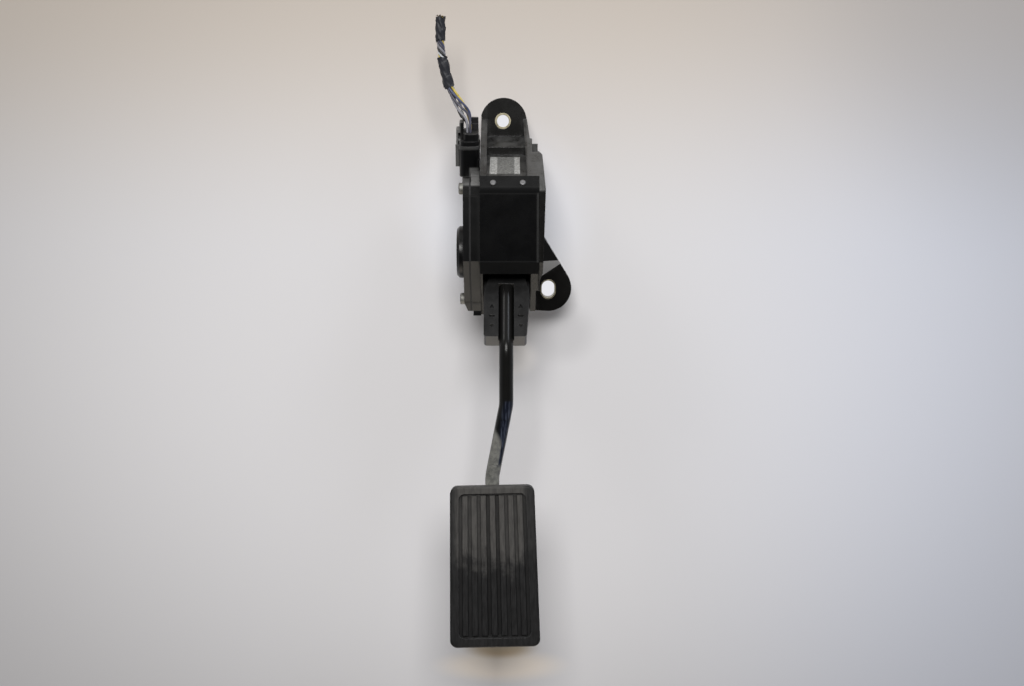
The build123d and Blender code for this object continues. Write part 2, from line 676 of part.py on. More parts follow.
def wing_slab():
    """Both wings in one slab: straight to the gussets, then tapered to a round-cornered end."""
    straight = GUSSET_START + GUSSET_LENGTH
    outline = make_face(Polyline(
        (WING_LEFT_X, 0), (WING_RIGHT_X, 0), (WING_RIGHT_X, -straight), (WING_END_RIGHT_X, -ARM_END),
        (WING_END_LEFT_X, -ARM_END), (WING_LEFT_X, -straight), close=True))
    outline = fillet(outline.vertices().sort_by(Axis.Y)[:2], END_CORNER)
    return arm_slab(outline, ARM_BACK, ARM_FRONT)


def gusset_cuts():
    """Cutters that narrow the wings towards the hub with a slanting face on each side."""
    cuts = []
    for edge, inward in ((WING_LEFT_X, 1), (WING_RIGHT_X, -1)):
        wide = edge + inward * GUSSET_WIDTH
        corners = [(wide, 0.0), (wide, -GUSSET_START), (edge, -GUSSET_START - GUSSET_LENGTH), (edge, 0.0)]
        cuts.append(arm_slab(make_face(Polyline(*corners, close=True)), 0, ARM_FRONT))
    return cuts


def wing_marks():
    """Shallow plain marks sunk in the front of each wing: a triangle, a bar and a triangle."""
    cuts = []
    for x in MARK_X:
        for number, along in enumerate(MARK_PLACES):
            bar = SlotOverall(2 * MARK_SIZE, MARK_SIZE)
            shape = bar if number == 1 else RegularPolygon(MARK_SIZE, 3, rotation=90 + 180 * (number == 2))
            cuts.append(arm_slab(Pos(x, -along) * shape, ARM_FRONT - MARK_DEPTH, ARM_FRONT))
    return cuts


def make_lever():
    """Moulded lever: hub on the axle, spring tail above it, and two wings that hold the rod below it."""
    wings = wing_slab()
    for cut in gusset_cuts() + wing_marks():
        wings -= cut
    wings -= wing_pockets()
    lever = wings + bar_along_x(HUB_RADIUS, PIVOT_DEPTH, PIVOT_Z, WING_LEFT_X, WING_RIGHT_X)
    tail_front = TAIL_BACK_DEPTH + TAIL_THICKNESS
    tail_left = SPRING_X - TAIL_WIDTH / 2
    lever += block(tail_left, tail_left + TAIL_WIDTH, TAIL_BACK_DEPTH, tail_front, PIVOT_Z, TAIL_TOP_Z)
    lever -= bar_along_x(AXLE_RADIUS, PIVOT_DEPTH, PIVOT_Z, WING_LEFT_X, WING_RIGHT_X)
    return lever - rod_groove()


def make_axle():
    """Steel pivot pin, from the blind right bearing to the rotor on the left."""
    left = ROTOR_X - ROTOR_THICKNESS
    right = CAVITY_RIGHT_X + RIGHT_BUSH_LENGTH - LOOSE_GAP
    return bar_along_x(AXLE_RADIUS, PIVOT_DEPTH, PIVOT_Z, left, right)


def pad_plane():
    """Plane of the pad's face: origin at the middle of its top edge, X across, Y up its length."""
    tilt = math.radians(PAD_TILT)
    normal = (0, -math.cos(tilt), math.sin(tilt))
    across = Vector(1, 0, 0).rotate(Axis((0, 0, 0), normal), PAD_TURN)
    return Plane(origin=(PAD_X, -PAD_TOP_DEPTH, PAD_TOP_Z), x_dir=across, z_dir=normal)


def pad_outline(top, side, bottom, corner):
    """Tapered pad outline, drawn in from its edges, with round corners."""
    taper = (PAD_BOTTOM_WIDTH - PAD_TOP_WIDTH) / 2 / PAD_LENGTH
    half_top = PAD_TOP_WIDTH / 2 + taper * top - side
    half_bottom = PAD_BOTTOM_WIDTH / 2 - taper * bottom - side
    foot = -PAD_LENGTH + bottom
    corners = [(-half_top, -top), (half_top, -top), (half_bottom, foot), (-half_bottom, foot)]
    outline = make_face(Polyline(*corners, close=True))
    return fillet(outline.vertices(), corner)


def pad_slab(outline, behind, front):
    """Slab of a pad outline between two distances from the pad's face, negative behind it."""
    face = pad_plane()
    return extrude(face.offset(behind) * outline, amount=front - behind, dir=face.z_dir)


def rod_path():
    """Centre line of the rod: out of the lever, down, across to the pad and along its back."""
    face = pad_plane()
    behind = PAD_THICKNESS + PLATE_PROUD + ROD_WELD_FLAT
    knee = rod_point(ROD_KNEE)
    points = [
        rod_point(ROD_SOCKET),
        knee,
        Vector(ROD_X, knee.Y, ROD_ELBOW_Z),
        face.from_local_coords(Vector(0, ROD_TOE_RISE, -behind)),
        face.from_local_coords(Vector(0, -ROD_WELD_LENGTH, -behind)),
    ]
    return points, FilletPolyline(*points, radius=[ROD_KNEE_RADIUS, ROD_ELBOW_RADIUS, ROD_TOE_RADIUS])


def make_rod():
    """Bent steel rod, pressed flat on its lower run and where it is welded to the pad's plate."""
    points, path = rod_path()
    rod = sweep(Plane(origin=path @ 0, z_dir=path % 0) * Circle(ROD_RADIUS), path=path)
    run = points[3] - points[2]
    start = points[2] + run.normalized() * 2 * ROD_RADIUS
    flat_plane = Plane(origin=start, x_dir=Vector(1, 0, 0).cross(run).cross(run), z_dir=run)
    to_driver = flat_plane.y_dir if flat_plane.y_dir.Y < 0 else -flat_plane.y_dir
    flat_length = run.length - 4 * ROD_RADIUS
    cutter = extrude(flat_plane * Rectangle(4 * ROD_RADIUS, 4 * ROD_RADIUS), amount=flat_length)
    rod -= Pos(to_driver * (ROD_FLAT + 2 * ROD_RADIUS)) * cutter
    outline = pad_outline(0, 0, 0, PAD_CORNER)
    return rod - pad_slab(outline, -PAD_THICKNESS - PLATE_PROUD, 0)


def make_pad_plate():
    """Steel plate that backs the pad, welded to the rod."""
    outline = pad_outline(PLATE_MARGIN, PLATE_MARGIN, PLATE_MARGIN, PLATE_CORNER)
    back = -PAD_THICKNESS - PLATE_PROUD
    return pad_slab(outline, back, back + PLATE_THICKNESS)


def rib_sides(number, along):
    """X of a rib's two sides at a distance down the pad; the ribs fan out with its taper."""
    taper = (PAD_BOTTOM_WIDTH - PAD_TOP_WIDTH) / 2 / PAD_LENGTH
    panel = PAD_TOP_WIDTH + 2 * taper * along - 2 * RIM_SIDE
    pitch = panel / (RIB_COUNT + 1 - RIB_SHARE)
    middle = (number - (RIB_COUNT - 1) / 2) * pitch
    return middle - pitch * RIB_SHARE / 2, middle + pitch * RIB_SHARE / 2


def pad_strip(left, right):
    """Long sketch on the pad between one side of a rib and one side of another: (rib number, 0 or 1)."""
    top = RIM_TOP + RIB_END_GAP
    foot = PAD_LENGTH - RIM_BOTTOM - RIB_END_GAP
    corners = []
    for along, pair in ((top, (left, right)), (foot, (right, left))):
        corners += [(rib_sides(number, along)[side], -along) for number, side in pair]
    return make_face(Polyline(*corners, close=True))


def pad_ribs():
    """Lengthwise ribs with round top edges."""
    ribs = []
    for number in range(RIB_COUNT):
        rib = pad_slab(pad_strip((number, 0), (number, 1)), -PANEL_RECESS, -PANEL_RECESS + RIB_HEIGHT)
        top = rib.faces().sort_by(Axis((0, 0, 0), tuple(pad_plane().z_dir)))[-1]
        ribs.append(fillet(top.edges(), RIB_ROUND))
    return ribs


def make_pad_rubber():
    """Rubber pad: rounded rim, sunk panel with ribs and two deep grooves, and a seat for the plate."""
    rubber = pad_slab(pad_outline(0, 0, 0, PAD_CORNER), -PAD_THICKNESS, 0)
    front = rubber.faces().sort_by(Axis((0, 0, 0), tuple(pad_plane().z_dir)))[-1]
    rubber = fillet(front.edges(), PAD_EDGE_ROUND)
    rubber -= pad_slab(pad_outline(RIM_TOP, RIM_SIDE, RIM_BOTTOM, PANEL_CORNER), -PANEL_RECESS, 0)
    middle = RIB_COUNT // 2
    for number in (middle - 1, middle):
        groove = pad_strip((number, 1), (number + 1, 0))
        rubber -= pad_slab(groove, -PANEL_RECESS - GROOVE_DEPTH, -PANEL_RECESS)
    for rib in pad_ribs():
        rubber += rib
    outline = pad_outline(PLATE_MARGIN, PLATE_MARGIN, PLATE_MARGIN, PLATE_CORNER)
    back = -PAD_THICKNESS - PLATE_PROUD
    return rubber - pad_slab(outline, back, back + PLATE_THICKNESS)


def sensor_outline():
    """Side outline of the sensor, with round lugs for its screws."""
    points = [(SENSOR_BACK_DEPTH, SENSOR_TOP_Z), (SENSOR_STEP_BACK, SENSOR_TOP_Z),
              (SENSOR_STEP_BACK, SENSOR_STEP_TOP_Z), (SENSOR_STEP_FRONT, SENSOR_STEP_FOOT_Z),
              (SENSOR_STEP_FRONT, SENSOR_TOP_Z), (SENSOR_FRONT_DEPTH - SENSOR_CORNER * 2, SENSOR_TOP_Z),
              (SENSOR_FRONT_DEPTH, SENSOR_SHOULDER_Z), (SENSOR_FRONT_DEPTH, SENSOR_BEND_Z),
              (SENSOR_TOE_DEPTH, SENSOR_BOTTOM_Z), (SENSOR_BACK_DEPTH, SENSOR_BOTTOM_Z)]
    outline = make_face(Polyline(*[(-d, z) for d, z in points], close=True))
    for d, z in SCREW_PLACES:
        outline += Pos(-d, z) * Circle(SCREW_BOSS_RADIUS)
    return outline


def sensor_slab(outline, left, right):
    """Sensor outline made solid between two X positions."""
    return extrude(Plane.YZ.offset(left) * outline, amount=right - left, dir=(1, 0, 0))


def connector_plane():
    """Plane at the foot of the connector: X across, Y away from the driver, its normal up the plug."""
    lean = math.radians(CONNECTOR_LEAN)
    return Plane(origin=(CONNECTOR_X, -CONNECTOR_DEPTH, CONNECTOR_Z), x_dir=(1, 0, 0),
                 z_dir=(0, -math.sin(lean), math.cos(lean)))


def connector_solid(sketch, bottom, top):
    """Connector cross-section made solid between two heights along the plug."""
    plane = connector_plane()
    return extrude(plane.offset(bottom) * sketch, amount=top - bottom, dir=plane.z_dir)


def pin_places():
    """Cross-section positions of the contacts: two rows of three."""
    shift = WIRE_EXIT_X - CONNECTOR_X
    return [(shift + x * PIN_PITCH_X, y * PIN_PITCH_Y) for y in (-1, 0, 1) for x in (-0.5, 0.5)]


def pins(size, bottom, top):
    """Square bars at the contact positions."""
    bars = None
    for x, y in pin_places():
        bar = connector_solid(Pos(x, y) * Rectangle(size, size), bottom, top)
        bars = bar if bars is None else bars + bar
    return bars


def shroud():
    """Open-topped connector socket with a bead round its mouth."""
    outer = RectangleRounded(SHROUD_WIDTH, SHROUD_DEPTH, SHROUD_CORNER)
    inner_corner = SHROUD_CORNER - SHROUD_WALL
    inner = RectangleRounded(SHROUD_WIDTH - 2 * SHROUD_WALL, SHROUD_DEPTH - 2 * SHROUD_WALL, inner_corner)
    bead_corner = SHROUD_CORNER + RIM_BEAD
    bead = RectangleRounded(SHROUD_WIDTH + 2 * RIM_BEAD, SHROUD_DEPTH + 2 * RIM_BEAD, bead_corner)
    walls = connector_solid(outer, 0, SHROUD_HEIGHT)
    walls += connector_solid(bead, SHROUD_HEIGHT - RIM_BEAD_HEIGHT, SHROUD_HEIGHT)
    guard_reach = LATCH_THICKNESS + LOOSE_GAP
    for side in (-1, 1):
        across = side * (LATCH_WIDTH / 2 + LOOSE_GAP + LATCH_GUARD / 2)
        guard = Rectangle(guard_reach + SHROUD_WALL, LATCH_GUARD)
        place = Pos(-(SHROUD_WIDTH + guard_reach) / 2, across)
        walls += connector_solid(place * guard, LATCH_BOTTOM, SHROUD_HEIGHT)
    walls -= connector_solid(inner, SHROUD_FLOOR, SHROUD_HEIGHT)
    return walls - pins(PIN_SIZE, 0, SHROUD_FLOOR)


def make_sensor_body():
    """Sensor base on the housing's left wall, carrying the connector socket."""
    body = sensor_slab(sensor_outline(), SEAL_X, LEFT_X)
    body -= bar_along_x(CHAMBER_RADIUS, PIVOT_DEPTH, PIVOT_Z, SEAL_X, LEFT_X - SENSOR_FLOOR)
    boss = AXLE_BUSH_RADIUS + BUSH_BOSS_WALL + LOOSE_GAP / 2
    body -= bar_along_x(boss, PIVOT_DEPTH, PIVOT_Z, SEAL_X, LEFT_X)
    neck_left = CONNECTOR_X - SHROUD_WIDTH / 2 + SHROUD_WALL
    neck_right = LEFT_X - NECK_RIGHT_GAP
    neck_back = CONNECTOR_DEPTH - SHROUD_DEPTH / 2 + SHROUD_WALL
    neck = block(neck_left, neck_right, neck_back, NECK_FRONT, SENSOR_TOP_Z + LOOSE_GAP, NECK_TOP_Z)
    root = block(SEAL_X, neck_right, neck_back, NECK_FRONT, SENSOR_TOP_Z - SENSOR_CORNER, NECK_TOP_Z)
    above = connector_solid(Rectangle(2 * SHROUD_WIDTH, 2 * SHROUD_DEPTH), SHROUD_FLOOR, SHROUD_HEIGHT)
    body += (neck + root) - above
    ramp = [(SENSOR_BLOCK_BACK, SENSOR_TOP_Z), (SENSOR_BLOCK_BACK, SENSOR_BLOCK_TOP_Z),
            (SENSOR_BLOCK_FRONT, SENSOR_BLOCK_FOOT_Z), (SENSOR_BLOCK_FRONT, SENSOR_TOP_Z)]
    body += prism(ramp, SEAL_X, neck_right) - above
    body += block(LEFT_X - SENSOR_FOOT_WIDTH, LEFT_X, SENSOR_BACK_DEPTH, SENSOR_TOE_DEPTH,
                  SENSOR_BOTTOM_Z - SENSOR_FOOT, SENSOR_BOTTOM_Z)
    body += shroud()
    body -= pins(PIN_SIZE, 0, SHROUD_FLOOR)
    for d, z in SCREW_PLACES:
        body -= bar_along_x(SCREW_SHANK_RADIUS, d, z, SEAL_X, LEFT_X)
    return body


def make_sensor_seal():
    """Flat gasket between the sensor base and its lid."""
    seal = sensor_slab(sensor_outline(), LID_X, SEAL_X)
    seal -= bar_along_x(CHAMBER_RADIUS, PIVOT_DEPTH, PIVOT_Z, LID_X, SEAL_X)
    for d, z in SCREW_PLACES:
        seal -= bar_along_x(SCREW_SHANK_RADIUS, d, z, LID_X, SEAL_X)
    return seal


def make_sensor_lid():
    """Outer lid with a round cap over the rotor and a stepped room for the board."""
    lid = sensor_slab(sensor_outline(), LID_OUTER_X, LID_X)
    across, up = LID_CHAMFER
    corner = [(LID_OUTER_X, SENSOR_BOTTOM_Z), (LID_OUTER_X + across, SENSOR_BOTTOM_Z),
              (LID_OUTER_X, SENSOR_BOTTOM_Z + up)]
    lid -= plate(make_face(Polyline(*corner, close=True)), 0, SENSOR_FRONT_DEPTH)
    cap = bar_along_x(CAP_RADIUS, PIVOT_DEPTH, PIVOT_Z, CAP_X, LID_OUTER_X)
    rim = cap.edges().sort_by(Axis.X)[0]
    lid += chamfer(rim, CAP_CHAMFER)
    board_left = LID_X - BOARD_THICKNESS - BOARD_STEP
    lid -= bar_along_x(BOARD_RADIUS, PIVOT_DEPTH, PIVOT_Z, board_left, LID_X)
    lid -= bar_along_x(BOARD_RADIUS - BOARD_STEP, PIVOT_DEPTH, PIVOT_Z, CAP_X + SENSOR_FLOOR, LID_X)
    for d, z in SCREW_PLACES:
        lid -= bar_along_x(SCREW_SHANK_RADIUS, d, z, LID_OUTER_X, LID_X)
    return lid


def screw_tip_x():
    """X of the sensor screws' tips, inside the housing's left wall."""
    return LID_OUTER_X + SCREW_LENGTH


def make_sensor_screws():
    """Three screws through lid, gasket and base into the housing's wall."""
    screws = []
    for d, z in SCREW_PLACES:
        head = bar_along_x(SCREW_HEAD_RADIUS, d, z, LID_OUTER_X - SCREW_HEAD_HEIGHT, LID_OUTER_X)
        head = fillet(head.edges().sort_by(Axis.X)[0], SCREW_HEAD_HEIGHT / 3)
        socket_end = LID_OUTER_X - SCREW_HEAD_HEIGHT + SCREW_SOCKET_DEPTH
        head -= bar_along_x(SCREW_SOCKET_RADIUS, d, z, LID_OUTER_X - SCREW_HEAD_HEIGHT, socket_end)
        screws.append(head + bar_along_x(SCREW_SHANK_RADIUS, d, z, LID_OUTER_X, screw_tip_x()))
    return Compound(children=screws)


def make_board():
    """Round circuit board, seated on the step inside the lid."""
    left = LID_X - BOARD_THICKNESS - BOARD_STEP
    return bar_along_x(BOARD_RADIUS, PIVOT_DEPTH, PIVOT_Z, left, left + BOARD_THICKNESS)


def magnet_places():
    """(depth, height) of the two magnets, either side of the axle."""
    return [(PIVOT_DEPTH + side * MAGNET_OFFSET, PIVOT_Z) for side in (-1, 1)]


def magnet_blocks():
    """Two small magnets let into the rotor's outer face."""
    half = MAGNET_SIZE / 2
    left = ROTOR_X - ROTOR_THICKNESS
    return [block(left, left + half, d - half, d + half, z - half, z + half) for d, z in magnet_places()]


def make_rotor():
    """Plastic disc on the axle's end, with seats for the magnets."""
    left = ROTOR_X - ROTOR_THICKNESS
    rotor = bar_along_x(ROTOR_RADIUS, PIVOT_DEPTH, PIVOT_Z, left, ROTOR_X)
    rotor -= bar_along_x(AXLE_RADIUS, PIVOT_DEPTH, PIVOT_Z, left, ROTOR_X)
    for magnet in magnet_blocks():
        rotor -= magnet
    return rotor


def make_plug():
    """Harness plug: barrel in the socket, collar on its mouth and a side latch with a window."""
    inner_width = SHROUD_WIDTH - 2 * SHROUD_WALL - LOOSE_GAP
    inner_depth = SHROUD_DEPTH - 2 * SHROUD_WALL - LOOSE_GAP
    barrel = RectangleRounded(inner_width, inner_depth, SHROUD_CORNER - SHROUD_WALL - LOOSE_GAP / 2)
    plug = connector_solid(barrel, PLUG_BOTTOM, SHROUD_HEIGHT)
    collar = RectangleRounded(SHROUD_WIDTH - LOOSE_GAP, SHROUD_DEPTH - LOOSE_GAP, SHROUD_CORNER)
    plug += connector_solid(collar, SHROUD_HEIGHT, SHROUD_HEIGHT + PLUG_COLLAR_HEIGHT)
    head_depth = SHROUD_DEPTH - 2 * PLUG_BARREL_MARGIN
    head = RectangleRounded(PLUG_HEAD_WIDTH, head_depth, SHROUD_CORNER - PLUG_BARREL_MARGIN)
    plug += connector_solid(Pos(PLUG_HEAD_SHIFT, 0) * head, SHROUD_HEIGHT, PLUG_TOP)
    head_left = PLUG_HEAD_SHIFT - PLUG_HEAD_WIDTH / 2
    latch_right = -SHROUD_WIDTH / 2 - RIM_BEAD - LOOSE_GAP
    latch_left = latch_right - LATCH_THICKNESS
    latch = Pos((latch_left + latch_right) / 2, 0) * Rectangle(LATCH_THICKNESS, LATCH_WIDTH)
    plug += connector_solid(latch, LATCH_BOTTOM, LATCH_TOP)
    collar_top = SHROUD_HEIGHT + PLUG_COLLAR_HEIGHT
    tower = Pos((latch_left + head_left) / 2, 0) * Rectangle(head_left - latch_left, LATCH_WIDTH)
    plug += connector_solid(tower, collar_top, LATCH_TOP)
    post = Pos(head_left - TOWER_WIDTH / 2, 0) * Rectangle(TOWER_WIDTH, LATCH_WIDTH)
    plug += connector_solid(post, collar_top, TOWER_TOP)
    hole_front = -LATCH_WIDTH / 2
    hole = Pos(latch_right + TOWER_HOLE / 2, hole_front) * Rectangle(TOWER_HOLE, LATCH_WIDTH)
    plug -= connector_solid(hole, collar_top + LOOSE_GAP, collar_top + LOOSE_GAP + LATCH_WINDOW)
    return plug - pins(PIN_SIZE + LOOSE_GAP, PLUG_BOTTOM, PIN_TOP + LOOSE_GAP)


def make_plug_lock():
    """Sliding lock that stands on the rear of the plug's top."""
    right = SHROUD_WIDTH / 2 - PLUG_BARREL_MARGIN / 2
    rear = SHROUD_DEPTH / 2 - PLUG_BARREL_MARGIN - LOCK_REAR_INSET
    front = PIN_PITCH_Y + WIRE_DIAMETER / 2 + LOOSE_GAP
    middle = right - LOCK_WIDTH / 2
    body = Pos(middle, (front + rear) / 2) * Rectangle(LOCK_WIDTH, rear - front)
    lock = connector_solid(body, PLUG_TOP, PLUG_TOP + LOCK_HEIGHT)
    step = Pos(middle, front) * Rectangle(LOCK_WIDTH, 2 * LOCK_STEP)
    return lock - connector_solid(step, PLUG_TOP + LOCK_HEIGHT / 2, PLUG_TOP + LOCK_HEIGHT)


def wire_points(x_place, y_place):
    """Route of one wire, from its exit in the plug's top, closing up to its place in the bundle."""
    plane = connector_plane()
    shift = WIRE_EXIT_X - CONNECTOR_X
    exit_place = Vector(shift + x_place * PIN_PITCH_X, y_place * PIN_PITCH_Y, PLUG_TOP)
    exit_point = plane.from_local_coords(exit_place)
    points = [exit_point, exit_point + plane.z_dir * WIRE_EXIT_RUN]
    for (x, depth, z), spread in zip(ROUTE, ROUTE_SPREAD):
        pitch_x = BUNDLE_PITCH + spread * (PIN_PITCH_X - BUNDLE_PITCH)
        pitch_y = BUNDLE_PITCH + spread * (PIN_PITCH_Y - BUNDLE_PITCH)
        points.append(Vector(x + x_place * pitch_x, -depth + y_place * pitch_y, z))
    return points


def route_radii(points):
    """Largest arc that each corner's two runs allow."""
    radii = []
    for before, corner, after in zip(points, points[1:], points[2:]):
        inward = corner - before
        outward = after - corner
        half_turn = math.radians(inward.get_angle(outward)) / 2
        radii.append(ARC_SHARE * min(inward.length, outward.length) / math.tan(half_turn))
    return radii


def tube(points, radii, section):
    """Section swept along straight runs joined by arcs."""
    path = FilletPolyline(*points, radius=radii)
    return sweep(Plane(origin=path @ 0, z_dir=path % 0) * section, path=path)


def make_wires():
    """Six loose wires from the plug to the cut end."""
    wires = []
    for y in (-1, 0, 1):
        for x in (-0.5, 0.5):
            points = wire_points(x, y)
            radii = route_radii(points)
            wires.append(tube(points, radii, Circle(WIRE_DIAMETER / 2)))
            print("wire arcs", [round(r, 1) for r in radii])
    return wires


def make_tape(first, last):
    """Tape sleeve round the bundle, from the middle of one run of the route to the middle of another."""
    points = [Vector(x, -depth, z) for x, depth, z in ROUTE]
    radii = route_radii(points)
    start = (points[first] + points[first + 1]) / 2
    if last < len(points) - 1:
        end = (points[last] + points[last + 1]) / 2
    else:
        end = points[last] - (points[last] - points[last - 1]).normalized() * WIRE_DIAMETER
    inner = points[first + 1:last + 1] if last < len(points) - 1 else points[first + 1:last]
    run = [start] + inner + [end]
    corner_radii = radii[first:first + len(inner)]
    outer = tube(run, corner_radii, Circle(TAPE_INNER_RADIUS + TAPE_WALL))
    return outer - tube(run, corner_radii, Circle(TAPE_INNER_RADIUS))


def main():
    upper_bush, lower_bush = make_bolt_bushes()
    left_bush, right_bush = make_axle_bushes()
    rest_stop, full_stop = make_stops()
    outer_spring, inner_spring = make_springs()
    nodes = {
        "housing": make_housing(),
        "upper_bolt_bush": upper_bush,
        "lower_bolt_bush": lower_bush,
        "front_cover": make_front_cover(),
        "cover_rivets": make_rivets(),
        "label_plate": make_label(),
        "left_axle_bush": left_bush,
        "right_axle_bush": right_bush,
        "rest_stop": rest_stop,
        "full_stop": full_stop,
        "outer_spring": outer_spring,
        "inner_spring": inner_spring,
        "spring_cup": make_spring_cup(),
        "lever": make_lever(),
        "pivot_axle": make_axle(),
        "pedal_rod": make_rod(),
        "pad_plate": make_pad_plate(),
        "pad_rubber": make_pad_rubber(),
        "sensor_body": make_sensor_body(),
        "sensor_seal": make_sensor_seal(),
        "sensor_lid": make_sensor_lid(),
        "sensor_screws": make_sensor_screws(),
        "sensor_board": make_board(),
        "sensor_rotor": make_rotor(),
        "rotor_magnets": Compound(children=magnet_blocks()),
        "terminal_pins": Compound(children=list(pins(PIN_SIZE, 0, PIN_TOP).solids())),
        "harness_plug": make_plug(),
        "plug_lock": make_plug_lock(),
        "lower_tape": make_tape(1, 3),
        "upper_tape": make_tape(4, 6),
    }
    for number, wire in enumerate(make_wires(), start=1):
        nodes[f"wire_{number}"] = wire
    os.makedirs("parts", exist_ok=True)
    for name, shape in nodes.items():
        export_step(shape, f"parts/{name}.step")


main()
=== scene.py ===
# %% [markdown]
# An accelerator pedal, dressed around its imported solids. The solids hold every size and place, so this
# lesson only adds what solids lack: finishes, wires with a twist, wound tape, marks and light.

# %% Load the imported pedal
import json
import math

import bmesh
import bpy
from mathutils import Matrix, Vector, noise


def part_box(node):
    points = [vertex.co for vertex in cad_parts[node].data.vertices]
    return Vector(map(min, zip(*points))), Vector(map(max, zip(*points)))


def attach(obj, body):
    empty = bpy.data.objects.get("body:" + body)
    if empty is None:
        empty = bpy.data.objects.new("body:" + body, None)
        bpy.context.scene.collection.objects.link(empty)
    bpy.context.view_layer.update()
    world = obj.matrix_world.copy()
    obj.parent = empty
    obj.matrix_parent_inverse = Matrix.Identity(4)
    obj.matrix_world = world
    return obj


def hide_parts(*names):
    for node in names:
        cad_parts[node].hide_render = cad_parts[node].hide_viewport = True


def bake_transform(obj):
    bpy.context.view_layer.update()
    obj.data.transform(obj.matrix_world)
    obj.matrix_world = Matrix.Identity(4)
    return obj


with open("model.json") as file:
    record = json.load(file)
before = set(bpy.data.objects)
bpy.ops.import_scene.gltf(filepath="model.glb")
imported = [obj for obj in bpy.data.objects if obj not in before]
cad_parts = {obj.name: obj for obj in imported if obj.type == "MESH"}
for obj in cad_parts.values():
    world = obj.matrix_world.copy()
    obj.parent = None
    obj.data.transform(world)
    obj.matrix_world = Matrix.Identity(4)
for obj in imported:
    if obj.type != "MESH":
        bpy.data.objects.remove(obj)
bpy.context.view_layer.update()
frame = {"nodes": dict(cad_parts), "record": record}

MM = 0.001
nodes = frame["nodes"]
scene = bpy.context.scene

# %% [markdown]
# The camera comes first, because everything after it is judged through it. The upper bolt hole looks
# round, so the line of sight runs through it, and the view dips a little below the hole's own axis.

# %% Camera at the photograph's place
IMAGE_WIDTH = 1024
FOCAL_PIXELS = 1425
SENSOR_WIDTH = 36.0
CAMERA_PLACE = Vector((5, -800, 0)) * MM
CAMERA_DIP = math.radians(8.855)

camera = bpy.data.objects.new("photo_camera", bpy.data.cameras.new("photo_camera"))
camera.data.sensor_width = SENSOR_WIDTH
camera.data.lens = SENSOR_WIDTH * FOCAL_PIXELS / IMAGE_WIDTH
camera.location = CAMERA_PLACE
camera.rotation_euler = (math.pi / 2 - CAMERA_DIP, 0, 0)
scene.collection.objects.link(camera)
scene.camera = camera
scene.view_settings.view_transform = "Standard"
print("lens", round(camera.data.lens, 2), "mm")

# %% [markdown]
# The wiring is a short cut tail: six thin wires that leave the plug in two rows, close up and twist round
# each other. A smooth curve through the route's points is the middle of the bundle, and each wire winds
# round that middle. Curves with a round bevel keep their thickness through every bend.

# %% The middle of the wire bundle
ROUTE = [
    (-17.9, -31.72, -5.3),
    (-17.9, -32.88, 0.18),
    (-21.4, -33.4, 6.4),
    (-25.0, -33.6, 12.2),
    (-28.4, -33.6, 18.6),
    (-30.4, -33.6, 26.5),
    (-32.2, -33.6, 35.5),
    (-32.9, -33.6, 42.5),
    (-32.6, -33.6, 54.2),
]
CURVE_STEPS = 10
ROUND_STEPS = 4
# A curve's box grows by the radius of its points, so that radius is small and the bevel makes up for it
POINT_RADIUS = 1 * MM


def smooth_line(name, points, radius=0.0):
    """Curve object of one open smooth line through the points' bends, round if it has a radius."""
    data = bpy.data.curves.new(name, "CURVE")
    data.dimensions = "3D"
    data.resolution_u = CURVE_STEPS
    line = data.splines.new("NURBS")
    line.points.add(len(points) - 1)
    for point, place in zip(line.points, points):
        point.co = (*place, 1.0)
        point.radius = POINT_RADIUS
    line.order_u = 3
    line.use_endpoint_u = True
    data.bevel_depth = radius / POINT_RADIUS
    data.bevel_resolution = ROUND_STEPS
    data.use_fill_caps = radius > 0
    piece = bpy.data.objects.new(name, data)
    scene.collection.objects.link(piece)
    return piece


def drawn_points(piece):
    """Points along a curve that has no bevel, as Blender draws it."""
    mesh = bpy.data.meshes.new_from_object(piece)
    places = [v.co.copy() for v in mesh.vertices]
    bpy.data.meshes.remove(mesh)
    return places


bundle = smooth_line("bundle_middle", [Vector(p) * MM for p in ROUTE])
MIDDLE = drawn_points(bundle)
bpy.data.objects.remove(bundle)
TRAVEL = [0.0]
for before, after in zip(MIDDLE, MIDDLE[1:]):
    TRAVEL.append(TRAVEL[-1] + (after - before).length)
print("bundle length", round(TRAVEL[-1] / MM, 1), "mm in", len(MIDDLE), "points")

# %% [markdown]
# Below the tape the wires are spread and turn slowly, and above it they are close and turn fast. A helix
# round a bent line needs two directions square to that line, which are worked out at each point.

# %% Six wires that twist together
WIRE_RADIUS = 0.625 * MM
TWIST_PITCH = 50 * MM
HARD_TWIST_PITCH = 12.4 * MM
HARD_TWIST_FROM = 26 * MM
TWIST_RADIUS = 1.5 * MM
TWIST_RADIUS_LOW = 2.5 * MM
SPREAD_TO = 24 * MM
TWIST_RADIUS_AT_END = 1.27 * MM
END_RUN = 12 * MM
PLUG_PITCH = (1.6 * MM, 3.2 * MM)
PLUG_LEAN = math.radians(12)
GATHER_FROM = 3 * MM
GATHER_TO = 10 * MM
WIRE_POINT_STEP = 2
# Each wire: place in the plug's two rows, then its place round the bundle in degrees
WIRES = {
    "wire_1": (-0.5, -1, -70),
    "wire_2": (0.5, -1, -10),
    "wire_3": (-0.5, 0, -130),
    "wire_4": (0.5, 0, 50),
    "wire_5": (-0.5, 1, 170),
    "wire_6": (0.5, 1, 110),
}


def ease(value, low, high):
    """0 below low, 1 above high, and a smooth rise between them."""
    share = min(max((value - low) / (high - low), 0.0), 1.0)
    return share * share * (3 - 2 * share)


def across_line(places, index):
    """Two directions square to a line of points at one of them, the first one nearest to X."""
    ahead = places[min(index + 1, len(places) - 1)]
    behind = places[max(index - 1, 0)]
    along = (ahead - behind).normalized()
    side = (Vector((1, 0, 0)) - along * along.x).normalized()
    return side, along.cross(side)


